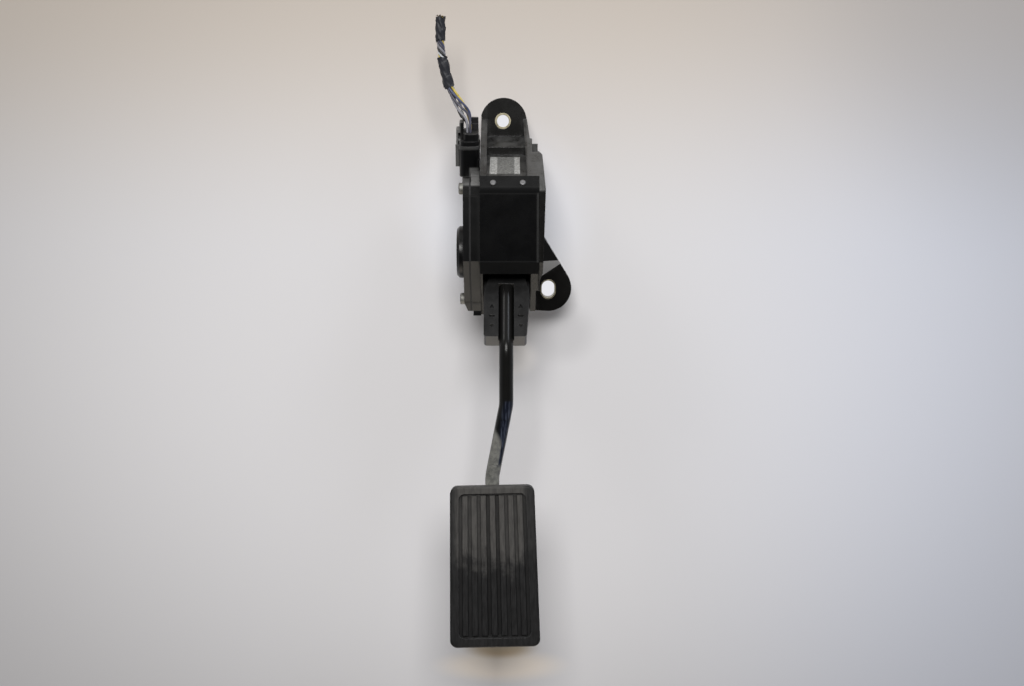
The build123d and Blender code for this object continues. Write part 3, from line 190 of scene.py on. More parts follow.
def wire_places(column, row, degrees):
    """Points of one wire, from its hole in the plug to its turn round the bundle's middle."""
    rise = Vector((0, math.cos(PLUG_LEAN), math.sin(PLUG_LEAN)))
    at_plug = Vector((column * PLUG_PITCH[0], 0, 0)) + rise * (row * PLUG_PITCH[1])
    places = []
    for index in list(range(0, len(MIDDLE) - 1, WIRE_POINT_STEP)) + [len(MIDDLE) - 1]:
        easy = min(max(TRAVEL[index], GATHER_FROM), HARD_TWIST_FROM) - GATHER_FROM
        hard = max(TRAVEL[index] - HARD_TWIST_FROM, 0)
        turn = math.radians(degrees) - math.tau * (easy / TWIST_PITCH + hard / HARD_TWIST_PITCH)
        side, depth = across_line(MIDDLE, index)
        packed = ease(TRAVEL[index], TRAVEL[-1] - END_RUN, TRAVEL[-1] - END_RUN / 2)
        spread = 1 - ease(TRAVEL[index], GATHER_TO, SPREAD_TO)
        away = TWIST_RADIUS + (TWIST_RADIUS_AT_END - TWIST_RADIUS) * packed
        away += (TWIST_RADIUS_LOW - TWIST_RADIUS) * spread
        wound = (side * math.cos(turn) + depth * math.sin(turn)) * away
        gathered = ease(TRAVEL[index], GATHER_FROM, GATHER_TO)
        places.append(MIDDLE[index] + at_plug.lerp(wound, gathered))
    return places


def line_length(places):
    """Length of a line of points."""
    return sum((b - a).length for a, b in zip(places, places[1:]))


wire_pieces = {}
for node, (column, row, degrees) in WIRES.items():
    places = wire_places(column, row, degrees)
    thread = smooth_line(node + "_thread", places)
    length = line_length(drawn_points(thread))
    bpy.data.objects.remove(thread)
    wire = smooth_line(node + "_insulation", places, WIRE_RADIUS)
    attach(wire, "base")
    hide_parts(node)
    wire_pieces[node] = (wire, places, length)
    print(node, "length", round(length / MM, 1), "mm")

# %% [markdown]
# Black tape is wound round the bundle in two stretches. A plain tube would look like a sleeve, so the
# tube's wall steps out a little at each lap of the tape and is pinched and wrinkled between the laps.

# %% Wound tape
TAPE_LAP = 7.5 * MM
TAPE_STEP = 0.28 * MM
WRINKLE = 0.55 * MM
WRINKLE_SIZE = 4.5 * MM
TORN = 1.6 * MM
TORN_SIZE = 1.1 * MM
TAPE_RINGS = 3
TAPE_ROUND_STEPS = 12
MIDDLE_OUT = 0.6
# The wires under the tape show through it as rounded strands, more so in the upper stretch
STRANDS = 6
STRAND_PITCH = 30 * MM
# Each stretch: radius, how deep its strands show, and how far its two ends are moved along the bundle
TAPES = {
    "lower_tape": (2.75 * MM, 0.3 * MM, 3.2 * MM, 2.2 * MM),
    "upper_tape": (2.45 * MM, 0.75 * MM, 1.8 * MM, 2.3 * MM),
}


def shape_tape(piece, low, high, strand_depth):
    """Move a tube's wall in and out: strands, laps of the winding and wrinkles; tear its two ends."""
    shape = bmesh.new()
    shape.from_mesh(piece.data)
    shape.normal_update()
    for vert in shape.verts:
        turn = math.atan2(vert.normal.y, vert.normal.x) / math.tau
        lap = ((vert.co.z - low) / TAPE_LAP - turn) % 1.0
        pinch = noise.noise(vert.co / WRINKLE_SIZE) * WRINKLE
        strand = abs(math.sin(math.pi * STRANDS * (turn + (vert.co.z - low) / STRAND_PITCH)))
        wound = TAPE_STEP * (lap - MIDDLE_OUT) + strand_depth * (strand - MIDDLE_OUT)
        vert.co += vert.normal * (wound + pinch)
        if min(vert.co.z - low, high - vert.co.z) < TORN:
            vert.co.z += noise.noise(vert.co / TORN_SIZE) * TORN
    shape.to_mesh(piece.data)
    shape.free()


tape_pieces = {}
for node, (radius, strand_depth, move_low, move_high) in TAPES.items():
    low, high = (corner.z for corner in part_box(node))
    low, high = low + move_low, high + move_high
    covered = [place for place in MIDDLE if low <= place.z <= high]
    tube = smooth_line(node + "_line", covered, radius)
    tube.data.bevel_resolution = TAPE_ROUND_STEPS
    tube.data.resolution_u = TAPE_RINGS
    tape = bpy.data.objects.new(node + "_winding", bpy.data.meshes.new_from_object(tube))
    scene.collection.objects.link(tape)
    bpy.data.objects.remove(tube)
    shape_tape(tape, low, high, strand_depth)
    tape.data.shade_smooth()
    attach(tape, "base")
    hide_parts(node)
    tape_pieces[node] = tape
    print(node, "faces", len(tape.data.polygons))

# %% [markdown]
# The tail was cut off, so bright copper shows in the end of each wire, and each wire gets its copper here.

# %% Copper ends of the wires
COPPER_RADIUS = 0.36 * MM
COPPER_PROUD = 0.5 * MM
COPPER_INSIDE = 2.0 * MM

copper_pieces = []
for node, (wire, places, length) in wire_pieces.items():
    end = places[-1]
    onward = (end - places[-2]).normalized()
    core_line = [end - onward * COPPER_INSIDE, end, end + onward * COPPER_PROUD]
    core = smooth_line(node + "_copper", core_line, COPPER_RADIUS)
    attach(core, "base")
    copper_pieces.append(core)
print("cords:", len(wire_pieces), "copper ends:", len(copper_pieces))

# %% [markdown]
# Two coil springs, one inside the other, push the pedal back. Their front ends rest in the cover and their
# back ends in a cup on the lever, and each becomes a piece of its own.

spring_pieces = []
for node in ("outer_spring", "inner_spring"):
    mesh = nodes[node].data.copy()
    mesh.transform(nodes[node].matrix_world)
    coil = bpy.data.objects.new(node + "_coil", mesh)
    scene.collection.objects.link(coil)
    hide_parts(node)
    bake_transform(coil)
    spring_pieces.append(coil)
print("springs:", [coil.name for coil in spring_pieces])

# %% [markdown]
# Finishes are built from shader nodes. Three effects come back on almost every piece, so each is one node
# group: the fine grain of a moulding, edges that handling has rubbed, and dust that settles in patches.

# %% Small helpers for node trees
def put(tree, kind, inputs=None, **settings):
    """New node with its settings, and inputs that are values or sockets to link from."""
    node = tree.nodes.new(kind)
    for name, value in settings.items():
        setattr(node, name, value)
    for name, value in (inputs or {}).items():
        if isinstance(value, bpy.types.NodeSocket):
            tree.links.new(value, node.inputs[name])
        else:
            node.inputs[name].default_value = value
    return node


def calc(tree, operation, a, b=0.0, clamp=False):
    """Result of a Math node."""
    return put(tree, "ShaderNodeMath", {0: a, 1: b}, operation=operation, use_clamp=clamp).outputs[0]


def remap(tree, value, low, high, to_low=0.0, to_high=1.0):
    """Value moved smoothly from one range to another, and held at its ends."""
    inputs = {"Value": value, "From Min": low, "From Max": high, "To Min": to_low, "To Max": to_high}
    return put(tree, "ShaderNodeMapRange", inputs, interpolation_type="SMOOTHSTEP").outputs[0]


def tint(tree, share, a, b, blend="MIX"):
    """Colour between a and b, or a multiplied by b."""
    return put(tree, "ShaderNodeMix", {0: share, 6: a, 7: b}, data_type="RGBA", blend_type=blend).outputs[2]


def level(tree, share, a, b):
    """Number between a and b."""
    return put(tree, "ShaderNodeMix", {0: share, 2: a, 3: b}, data_type="FLOAT").outputs[0]


def speckle(tree, place, scale, detail=2.0, roughness=0.5):
    """Noise value at a place."""
    inputs = {"Vector": place, "Scale": scale, "Detail": detail, "Roughness": roughness}
    return put(tree, "ShaderNodeTexNoise", inputs).outputs["Fac"]


def new_group(name, inputs, outputs):
    """Empty node group with named sockets, and its two end nodes."""
    tree = bpy.data.node_groups.new(name, "ShaderNodeTree")
    for label, kind, start in inputs:
        socket = tree.interface.new_socket(label, in_out="INPUT", socket_type=kind)
        socket.default_value = start
    for label, kind in outputs:
        tree.interface.new_socket(label, in_out="OUTPUT", socket_type=kind)
    return tree, tree.nodes.new("NodeGroupInput").outputs, tree.nodes.new("NodeGroupOutput").inputs


def use_group(tree, group, inputs):
    """Group placed in a tree."""
    return put(tree, "ShaderNodeGroup", inputs, node_tree=group).outputs


def object_place(tree):
    """Place on the object, which stays with it as it moves."""
    return put(tree, "ShaderNodeTexCoord").outputs["Object"]


def facing(tree, direction):
    """How much a surface faces a direction, from 1 for straight at it to -1."""
    side = put(tree, "ShaderNodeTexCoord").outputs["Normal"]
    product = put(tree, "ShaderNodeVectorMath", {0: side, 1: direction}, operation="DOT_PRODUCT")
    return product.outputs["Value"]


def roughen(tree, shader, height, strength, depth, normal=None):
    """Bump on a shader, laid over rounded edges if there is a normal for them."""
    inputs = {"Height": height, "Strength": strength, "Distance": depth}
    if normal is not None:
        inputs["Normal"] = normal
    tree.links.new(put(tree, "ShaderNodeBump", inputs).outputs[0], shader.inputs["Normal"])


print("node helpers are ready")

# %% [markdown]
# Rubbed edges come from comparing two normals: the real one, and one that a bevel would give. They differ
# only at edges. Occlusion tells an open edge from the inside of a corner, where dust gathers instead.

# %% The three shared effects
FLOAT = "NodeSocketFloat"
TONE_SCALE = 90.0

grain, ins, outs = new_group("moulded_grain", [("Size", FLOAT, 2500.0)],
                             [("Height", FLOAT), ("Tone", FLOAT)])
place = object_place(grain)
grain.links.new(speckle(grain, place, ins["Size"], 2.0, 0.6), outs["Height"])
grain.links.new(speckle(grain, place, TONE_SCALE, 4.0, 0.6), outs["Tone"])

EDGE_SAMPLES = 6
OPEN_SAMPLES = 8
CREASE_REACH = 3 * MM
CHIP_SCALE = 700.0
edges, ins, outs = new_group("rubbed_edges", [("Width", FLOAT, 0.4 * MM)],
                             [("Edge", FLOAT), ("Open", FLOAT), ("Normal", "NodeSocketVector")])
rounded = put(edges, "ShaderNodeBevel", {"Radius": ins["Width"]}, samples=EDGE_SAMPLES).outputs[0]
flat = put(edges, "ShaderNodeNewGeometry").outputs["Normal"]
bend = put(edges, "ShaderNodeVectorMath", {0: rounded, 1: flat}, operation="DOT_PRODUCT").outputs["Value"]
turned = remap(edges, bend, 0.99, 0.86)
hollow = put(edges, "ShaderNodeAmbientOcclusion", {"Distance": CREASE_REACH}, samples=OPEN_SAMPLES)
openness = hollow.outputs["AO"]
broken = remap(edges, speckle(edges, object_place(edges), CHIP_SCALE, 4.0, 0.7), 0.3, 0.62)
worn = calc(edges, "MULTIPLY", turned, remap(edges, openness, 0.55, 0.85))
edges.links.new(calc(edges, "MULTIPLY", worn, broken), outs["Edge"])
edges.links.new(openness, outs["Open"])
edges.links.new(rounded, outs["Normal"])

UPWARD = (0.0, -0.45, 0.89)
PATCH_SCALE = 130.0
FINE_SCALE = 1600.0
FINE_SHARE = 0.45
CORNER_SHARE = 0.5
dust, ins, outs = new_group("settled_dust", [("Amount", FLOAT, 0.4), ("Open", FLOAT, 1.0)],
                            [("Dust", FLOAT)])
lying = remap(dust, facing(dust, UPWARD), 0.5, 0.95)
place = object_place(dust)
patches = remap(dust, speckle(dust, place, PATCH_SCALE, 5.0, 0.65), 0.38, 0.66)
fine = remap(dust, speckle(dust, place, FINE_SCALE, 3.0, 0.7), 0.35, 0.7)
layer = calc(dust, "MULTIPLY", lying, level(dust, FINE_SHARE, patches, fine))
corner = calc(dust, "MULTIPLY", calc(dust, "SUBTRACT", 1.0, ins["Open"]), patches)
both = calc(dust, "ADD", layer, calc(dust, "MULTIPLY", corner, CORNER_SHARE), clamp=True)
dust.links.new(calc(dust, "MULTIPLY", both, ins["Amount"]), outs["Dust"])
print("groups:", [group.name for group in bpy.data.node_groups])

# %% [markdown]
# Almost the whole pedal is black plastic, so the differences between one black and another carry the look.
# One function makes them all: the base black, how shiny it is, its grain, its rubbed edges and its dust, and
# on some a painted highlight line or a side painted paler as if lit.

# %% Black mouldings and black rubber
# The dust colour also paints the highlight line on the cover's bead.
DUST_AND_HIGHLIGHT_COLOUR = (0.16, 0.16, 0.158, 1)
RUB_COLOUR = (0.10, 0.10, 0.105, 1)
# Painted reflection: the lever's end face, which looks down, is painted paler, as if it mirrored the pale
# wall below.
LEVER_END_PAINTED_REFLECTION = ((0.0, -0.53, -0.85), (0.098, 0.094, 0.085, 1))
# Painted light: the housing's web, which faces right, forward and down, is painted a pale cool grey as if
# lit.
WEB_PAINTED_LIGHT = ((0.407, -0.689, -0.599), (0.255, 0.26, 0.275, 1))
ZONE_FADE = 0.6
# Zones in mm: films of dust and one painted highlight line, with their strength, and bends that mirror
# little
# Painted highlight: a thin pale line along the cover's bead, as if its edge caught the light.
BEAD_PAINTED_HIGHLIGHT = ([("X", 18.1, 18.9), ("Z", -73, -37)], 0.22)
RIGHT_RIB_DUST = ([("X", 13, 40), ("Z", -36, 10), ("Y", -70, -6)], 0.34)
LEFT_RIB_DUST = ([("X", -20, -8.5), ("Z", -36, 10), ("Y", -70, -6)], 0.06)
SHOULDER_DULL = [("Z", -38.6, -33.8)]
BAND_DUST = ([("Z", -34.4, -27)], 0.03)
COVER_DULL = [[("Z", -37.2, -33.8)], [("Z", -95, -72.6)]]
MATT = 0.92
TONE_DARK = (0.7, 0.7, 0.72)
TONE_PALE = (1.35, 1.35, 1.35)
RUB_SHARE = 0.55
TONE_SPREAD = 0.16
GRAIN_STRENGTH = 0.35
STEP_DUST = ([("Z", -33.4, -29.4), ("Y", -60, -35)], 0.6)
RAMP_DUST = ([("X", -17.6, 0), ("Z", -33.4, -24.6), ("Y", -60, -34)], 0.75)
GUARD_DUST = ([("X", -40, -23.2), ("Z", -26, 10)], 0.55)
RIM_DUST = ([("Z", -15.0, -9.5), ("Y", -60, -37.5)], 0.3)
LATCH_DUST = ([("X", -40, -22.4)], 0.95)


def new_material(name):
    """Material with its node tree and Principled shader."""
    material = bpy.data.materials.new(name)
    material.use_nodes = True
    return material, material.node_tree, material.node_tree.nodes["Principled BSDF"]


def zone(tree, limits):
    """1 inside the limits, each an axis with two places in mm, and 0 outside, with soft borders."""
    parts = put(tree, "ShaderNodeSeparateXYZ", {0: object_place(tree)}).outputs
    share = 1.0
    for axis, low, high in limits:
        rise = remap(tree, parts[axis], (low - ZONE_FADE) * MM, (low + ZONE_FADE) * MM)
        fall = remap(tree, parts[axis], (high + ZONE_FADE) * MM, (high - ZONE_FADE) * MM)
        share = calc(tree, "MULTIPLY", share, calc(tree, "MULTIPLY", rise, fall))
    return share


def black_moulding(name, colour, roughness, grain_size, grain_depth, edge, dust_amount, specular=0.26,
                   painted_lit_side=None, dull=(), dusty=()):
    """Black plastic or rubber with grain, rubbed edges, dust, crevices that are matt, and where given a
    painted highlight line or a side painted paler as if lit.
    """
    material, tree, shader = new_material(name)
    shader.inputs["Specular IOR Level"].default_value = specular
    skin = use_group(tree, grain, {"Size": grain_size})
    rub = use_group(tree, edges, {"Width": edge})
    settled = use_group(tree, dust, {"Amount": dust_amount, "Open": rub["Open"]})["Dust"]
    dark = tuple(c * share for c, share in zip(colour, TONE_DARK)) + (1,)
    pale = tuple(c * share for c, share in zip(colour, TONE_PALE)) + (1,)
    base = tint(tree, skin["Tone"], dark, pale)
    base = tint(tree, settled, base, DUST_AND_HIGHLIGHT_COLOUR)
    # Each zone lays a film of the dust colour: dust, and on the cover's bead a painted highlight.
    for limits, amount in dusty:
        patchy = remap(tree, skin["Tone"], 0.3, 0.7, 0.7 * amount, amount)
        film = calc(tree, "MULTIPLY", zone(tree, limits), patchy)
        base = tint(tree, film, base, DUST_AND_HIGHLIGHT_COLOUR)
    base = tint(tree, calc(tree, "MULTIPLY", rub["Edge"], RUB_SHARE), base, RUB_COLOUR)
    # Painted light: a face turned towards the given direction is painted paler.
    if painted_lit_side:
        direction, painted_light = painted_lit_side
        base = tint(tree, remap(tree, facing(tree, direction), 0.93, 0.98), base, painted_light)
    tree.links.new(base, shader.inputs["Base Color"])
    uneven = calc(tree, "MULTIPLY_ADD", skin["Tone"], TONE_SPREAD)
    uneven.node.inputs[2].default_value = roughness - TONE_SPREAD / 2
    matt = calc(tree, "MAXIMUM", settled, remap(tree, rub["Open"], 0.8, 0.3))
    for limits in dull:
        matt = calc(tree, "MAXIMUM", matt, zone(tree, limits))
    tree.links.new(level(tree, matt, uneven, MATT), shader.inputs["Roughness"])
    roughen(tree, shader, skin["Height"], GRAIN_STRENGTH, grain_depth, rub["Normal"])
    return material


NYLON = (0.0022, 0.0023, 0.0025)
DEEP_NYLON = (0.0036, 0.0034, 0.003)
RUBBER = (0.012, 0.012, 0.0125)
# Each black: colour, roughness, size and depth of its grain, width of its rubbed edges, and dust
BLACKS = {
    "housing_plastic": (DEEP_NYLON, 0.26, 2600, 0.05 * MM, 0.3 * MM, 0.42),
    "cover_plastic": (NYLON, 0.27, 2600, 0.04 * MM, 0.2 * MM, 0.03),
    "lever_plastic": (NYLON, 0.31, 2200, 0.05 * MM, 0.3 * MM, 0.08),
    "sensor_plastic": (NYLON, 0.31, 2800, 0.04 * MM, 0.3 * MM, 0.05),
    "lid_plastic": (NYLON, 0.31, 2800, 0.04 * MM, 0.3 * MM, 0.05),
    "plug_plastic": (NYLON, 0.38, 3000, 0.03 * MM, 0.3 * MM, 0.2),
    "lock_plastic": ((0.014, 0.014, 0.015), 0.4, 3000, 0.03 * MM, 0.25 * MM, 0.2),
    "rotor_plastic": ((0.03, 0.03, 0.032), 0.45, 3000, 0.03 * MM, 0.2 * MM, 0.0),
    "seal_rubber": (RUBBER, 0.62, 3000, 0.03 * MM, 0.1 * MM, 0.1),
    "stop_rubber": (RUBBER, 0.65, 2500, 0.05 * MM, 0.4 * MM, 0.1),
    "tape_black": ((0.02, 0.021, 0.026), 0.45, 2400, 0.05 * MM, 0.1 * MM, 0.45),
    "plate_paint": (NYLON, 0.35, 1500, 0.02 * MM, 0.3 * MM, 0.1),
}
# What only some of them have
BLACK_EXTRAS = {
    "housing_plastic": {"painted_lit_side": WEB_PAINTED_LIGHT, "dusty": [RIGHT_RIB_DUST, LEFT_RIB_DUST]},
    "cover_plastic": {"specular": 0.15, "dull": COVER_DULL, "dusty": [BAND_DUST, BEAD_PAINTED_HIGHLIGHT]},
    "lever_plastic": {"painted_lit_side": LEVER_END_PAINTED_REFLECTION},
    "sensor_plastic": {"dull": [SHOULDER_DULL], "dusty": [STEP_DUST, RAMP_DUST, GUARD_DUST, RIM_DUST]},
    "lid_plastic": {"dull": [SHOULDER_DULL], "dusty": [STEP_DUST]},
    "plug_plastic": {"dusty": [LATCH_DUST]},
    "plate_paint": {"specular": 0.4},
}
finishes = {}
for name, look in BLACKS.items():
    finishes[name] = black_moulding(name, *look, **BLACK_EXTRAS.get(name, {}))
print("black finishes:", len(finishes))

# %% [markdown]
# Two black pieces wear in their own way. The pad is dusty above, where a shoe seldom reaches, and rubbed
# dark with fine streaks below. The rod's lower run is scuffed grey on the side that faces the driver, and
# its right facet carries a painted reflection of cool light with painted highlight streaks.

# %% The pad's rubber and the rod's paint
PAD_DUST_FROM = -0.236
PAD_DUST_FULL = -0.222
PAD_MIDDLE = -6.5 * MM
PAD_SPECULAR = 0.22
PAD_RAGGED = 0.05
PAD_STREAKS = (900, 900, 45)
PAD_DUST = (0.075, 0.072, 0.068, 1)
PAD_DARK = (0.004, 0.004, 0.0042, 1)
PAD_RUBBED = (0.0145, 0.0145, 0.015, 1)
PAD_RUB_SHARE = 0.6


def worn_pad():
    """Rubber with a ragged dusty upper half and a streaked lower half."""
    material, tree, shader = new_material("pad_rubber")
    shader.inputs["Specular IOR Level"].default_value = PAD_SPECULAR
    skin = use_group(tree, grain, {"Size": 1800.0})
    rub = use_group(tree, edges, {"Width": 0.5 * MM})
    place = object_place(tree)
    drawn = put(tree, "ShaderNodeMapping", {"Vector": place, "Scale": PAD_STREAKS}).outputs[0]
    streaks = remap(tree, speckle(tree, drawn, 1.0, 4.0, 0.65), 0.3, 0.7)
    parts = put(tree, "ShaderNodeSeparateXYZ", {0: place}).outputs
    ragged = calc(tree, "SUBTRACT", speckle(tree, place, 70.0, 6.0, 0.7), 0.5)
    line = calc(tree, "ADD", parts["Z"], calc(tree, "MULTIPLY", ragged, PAD_RAGGED))
    dusty = remap(tree, line, PAD_DUST_FROM, PAD_DUST_FULL)
    across = calc(tree, "SUBTRACT", parts["X"], PAD_MIDDLE)
    panel = remap(tree, calc(tree, "ABSOLUTE", across), 20 * MM, 16 * MM, 0.12, 1.0)
    dusty = calc(tree, "MULTIPLY", dusty, panel)
    top = calc(tree, "MULTIPLY", dusty, remap(tree, rub["Open"], 0.5, 0.95, 0.25, 1.0))
    patchy = calc(tree, "MULTIPLY", top, level(tree, streaks, 0.55, 1.0))
    base = tint(tree, calc(tree, "MULTIPLY", streaks, rub["Open"]), PAD_DARK, PAD_RUBBED)
    base = tint(tree, patchy, base, PAD_DUST)
    base = tint(tree, calc(tree, "MULTIPLY", rub["Edge"], PAD_RUB_SHARE), base, RUB_COLOUR)
    tree.links.new(base, shader.inputs["Base Color"])
    tree.links.new(level(tree, patchy, 0.5, 0.8), shader.inputs["Roughness"])
    roughen(tree, shader, skin["Height"], 0.4, 0.06 * MM, rub["Normal"])
    return material


# The lower run leans, and the scuff starts lower on its right side
ROD_LEAN = 0.153
ROD_LOW_END = (-5.5 * MM, -189 * MM)
SCUFF_SLANT = 1.6
SCUFF_FROM = -0.163
SCUFF_FULL = -0.168
STRIP_END = -0.183
SCUFF_SIDE = (-0.45, -0.88, 0.1)
SCUFF_SIDE_LOW = (0.4, -0.91, 0.1)
SCUFF_COLOUR = (0.19, 0.19, 0.175, 1)
ROD_DARK = (0.005, 0.005, 0.0048, 1)
ROD_LIGHT = (0.010, 0.010, 0.0095, 1)
ROD_SPECULAR = 0.2
ROD_RUB_SHARE = 0.4
ROD_STREAKS = (900, 900, 90)
# Painted reflection: the lower run's right facet is painted navy with pale blue streaks, standing in for
# cool light from the right mirrored there.
FACET_RUN = [("Z", -188, -145.5)]
FACET_PAINTED_REFLECTION = (0.007, 0.009, 0.016, 1)
FACET_PAINTED_HIGHLIGHT = (0.042, 0.049, 0.072, 1)


def scuffed_rod():
    """Glossy black paint, scuffed grey low down on the side that faces the driver, and a painted reflection
    on the lower run's right facet.
    """
    material, tree, shader = new_material("rod_paint")
    shader.inputs["Specular IOR Level"].default_value = ROD_SPECULAR
    skin = use_group(tree, grain, {"Size": 1500.0})
    rub = use_group(tree, edges, {"Width": 0.3 * MM})
    place = object_place(tree)
    toward = remap(tree, facing(tree, SCUFF_SIDE), 0.45, 0.8)
    parts = put(tree, "ShaderNodeSeparateXYZ", {0: place}).outputs
    leaning = calc(tree, "MULTIPLY", calc(tree, "SUBTRACT", parts["Z"], ROD_LOW_END[1]), ROD_LEAN)
    across = calc(tree, "SUBTRACT", calc(tree, "SUBTRACT", parts["X"], ROD_LOW_END[0]), leaning)
    slanted = calc(tree, "ADD", parts["Z"], calc(tree, "MULTIPLY", across, SCUFF_SLANT))
    strip = remap(tree, across, 2.2 * MM, 1.4 * MM)
    low = calc(tree, "MULTIPLY", remap(tree, slanted, SCUFF_FROM, SCUFF_FULL), strip)
    aside = remap(tree, facing(tree, SCUFF_SIDE_LOW), 0.3, 0.65)
    wide = calc(tree, "MULTIPLY", aside, remap(tree, parts["Z"], STRIP_END + 4 * MM, STRIP_END))
    broken = remap(tree, speckle(tree, place, 260.0, 5.0, 0.7), 0.3, 0.62, 0.45, 1.0)
    scuff = calc(tree, "MULTIPLY", calc(tree, "MAXIMUM", calc(tree, "MULTIPLY", toward, low), wide), broken)
    base = tint(tree, skin["Tone"], ROD_DARK, ROD_LIGHT)
    base = tint(tree, calc(tree, "MULTIPLY", rub["Edge"], ROD_RUB_SHARE), base, RUB_COLOUR)
    # Painted reflection with painted highlight streaks on the right facet of the lower run.
    reflection_patch = calc(tree, "MULTIPLY", zone(tree, FACET_RUN), remap(tree, across, -1.5 * MM, 1.0 * MM))
    drawn = put(tree, "ShaderNodeMapping", {"Vector": place, "Scale": ROD_STREAKS}).outputs[0]
    highlight_streaks = remap(tree, speckle(tree, drawn, 1.0, 3.0, 0.6), 0.48, 0.68)
    base = tint(tree, reflection_patch, base, tint(tree, highlight_streaks, FACET_PAINTED_REFLECTION, FACET_PAINTED_HIGHLIGHT))
    tree.links.new(tint(tree, scuff, base, SCUFF_COLOUR), shader.inputs["Base Color"])
    tree.links.new(level(tree, scuff, 0.22, 0.6), shader.inputs["Roughness"])
    roughen(tree, shader, skin["Height"], 0.2, 0.02 * MM, rub["Normal"])
    return material


finishes["pad_rubber"] = worn_pad()
finishes["rod_paint"] = scuffed_rod()
print("worn finishes:", finishes["pad_rubber"].name, finishes["rod_paint"].name)

# %% [markdown]
# Metal pieces are small but they are the only bright ones. Each is a metallic shader with fine machining or
# rolling marks, and a little grime in its corners so that it doesn't look new.

# %% Metals
GRIME = (0.05, 0.045, 0.035, 1)
GRIME_SCALE = 420.0


def metal(name, colour, roughness, marks, grime):
    """Bare or plated metal with fine marks along one direction and grime in patches."""
    material, tree, shader = new_material(name)
    shader.inputs["Metallic"].default_value = 1.0
    stretched = put(tree, "ShaderNodeMapping", {"Vector": object_place(tree), "Scale": marks}).outputs[0]
    lines = speckle(tree, stretched, 1.0, 3.0, 0.6)
    rub = use_group(tree, edges, {"Width": 0.2 * MM})
    patch = remap(tree, speckle(tree, object_place(tree), GRIME_SCALE, 4.0, 0.7), 0.45, 0.72)
    hidden = calc(tree, "SUBTRACT", 1.0, remap(tree, rub["Open"], 0.3, 0.95))
    dirt = calc(tree, "MULTIPLY", calc(tree, "ADD", patch, hidden, clamp=True), grime)
    bright = tuple(min(1.0, c * 1.12) for c in colour) + (1,)
    dull = tuple(c * 0.78 for c in colour) + (1,)
    tree.links.new(tint(tree, dirt, tint(tree, lines, dull, bright), GRIME), shader.inputs["Base Color"])
    tree.links.new(level(tree, lines, roughness - 0.07, roughness + 0.1), shader.inputs["Roughness"])
    roughen(tree, shader, lines, 0.25, 0.02 * MM, rub["Normal"])
    return material


# Each metal: colour, roughness, scale of its marks along X, Y and Z, and grime
METALS = {
    "bolt_bush_zinc": ((0.33, 0.30, 0.21), 0.36, (900, 900, 900), 0.5),
    "axle_steel": ((0.56, 0.57, 0.58), 0.28, (200, 3000, 3000), 0.2),
    "spring_steel": ((0.34, 0.34, 0.36), 0.35, (1200, 1200, 1200), 0.3),
    "bearing_bronze": ((0.5, 0.35, 0.17), 0.4, (1500, 1500, 1500), 0.3),
    "pin_brass": ((0.5, 0.4, 0.25), 0.35, (1500, 1500, 300), 0.3),
    "screw_steel": ((0.25, 0.25, 0.235), 0.58, (1500, 1500, 1500), 0.5),
    "rivet_steel": ((0.21, 0.21, 0.215), 0.5, (1500, 1500, 1500), 0.35),
}
for name, look in METALS.items():
    finishes[name] = metal(name, *look)
print("finishes with the metals:", len(finishes))

# %% [markdown]
# What is left is the wires' coloured insulation and the pieces inside: acetal, a circuit board and magnets.

# %% Insulation and inner plastics
PLASTIC_COLOURS = {
    "wire_grey": (0.25, 0.25, 0.28),
    "wire_yellow": (0.68, 0.54, 0.12),
    "wire_white": (0.50, 0.52, 0.55),
    "wire_black": (0.02, 0.02, 0.02),
    "wire_blue": (0.075, 0.09, 0.17),
    "wire_violet": (0.07, 0.07, 0.10),
    "cup_plastic": (0.62, 0.61, 0.56),
    "board_green": (0.02, 0.12, 0.05),
    "magnet_grey": (0.09, 0.09, 0.1),
}
HANDLING_DIRT = (0.045, 0.042, 0.04, 1)
DIRT_SCALE = 380.0


def coloured_plastic(name, colour, roughness=0.42):
    """Plain coloured plastic with handling dirt in patches and a faint drawn grain."""
    material, tree, shader = new_material(name)
    skin = use_group(tree, grain, {"Size": 2600.0})
    patch = remap(tree, speckle(tree, object_place(tree), DIRT_SCALE, 5.0, 0.7), 0.42, 0.75, 0.0, 0.55)
    tree.links.new(tint(tree, patch, (*colour, 1), HANDLING_DIRT), shader.inputs["Base Color"])
    tree.links.new(level(tree, skin["Tone"], roughness - 0.08, roughness + 0.12), shader.inputs["Roughness"])
    roughen(tree, shader, skin["Height"], 0.3, 0.02 * MM)
    return material


for name, colour in PLASTIC_COLOURS.items():
    finishes[name] = coloured_plastic(name, colour)

LABEL_FIELD = (-2.9 * MM, 6.3 * MM)
LABEL_FADE = 0.3 * MM
FIELD_DARK, FIELD_PALE = (0.085, 0.086, 0.083, 1), (0.185, 0.187, 0.18, 1)
STRIP_DARK, STRIP_PALE = (0.20, 0.20, 0.19, 1), (0.46, 0.46, 0.45, 1)


def bare_label():
    """Worn label plate without any print: two pale end strips and a greyer field between them."""
    material, tree, shader = new_material("label_foil")
    place = object_place(tree)
    across = put(tree, "ShaderNodeSeparateXYZ", {0: place}).outputs["X"]
    left, right = LABEL_FIELD
    after = remap(tree, across, left - LABEL_FADE, left + LABEL_FADE)
    before = remap(tree, across, right + LABEL_FADE, right - LABEL_FADE)
    blotch = remap(tree, speckle(tree, place, 900.0, 5.0, 0.75), 0.38, 0.66)
    field = tint(tree, blotch, FIELD_DARK, FIELD_PALE)
    strip = tint(tree, blotch, STRIP_DARK, STRIP_PALE)
    colour = tint(tree, calc(tree, "MULTIPLY", after, before), strip, field)
    tree.links.new(colour, shader.inputs["Base Color"])
    tree.links.new(level(tree, blotch, 0.55, 0.4), shader.inputs["Roughness"])
    return material


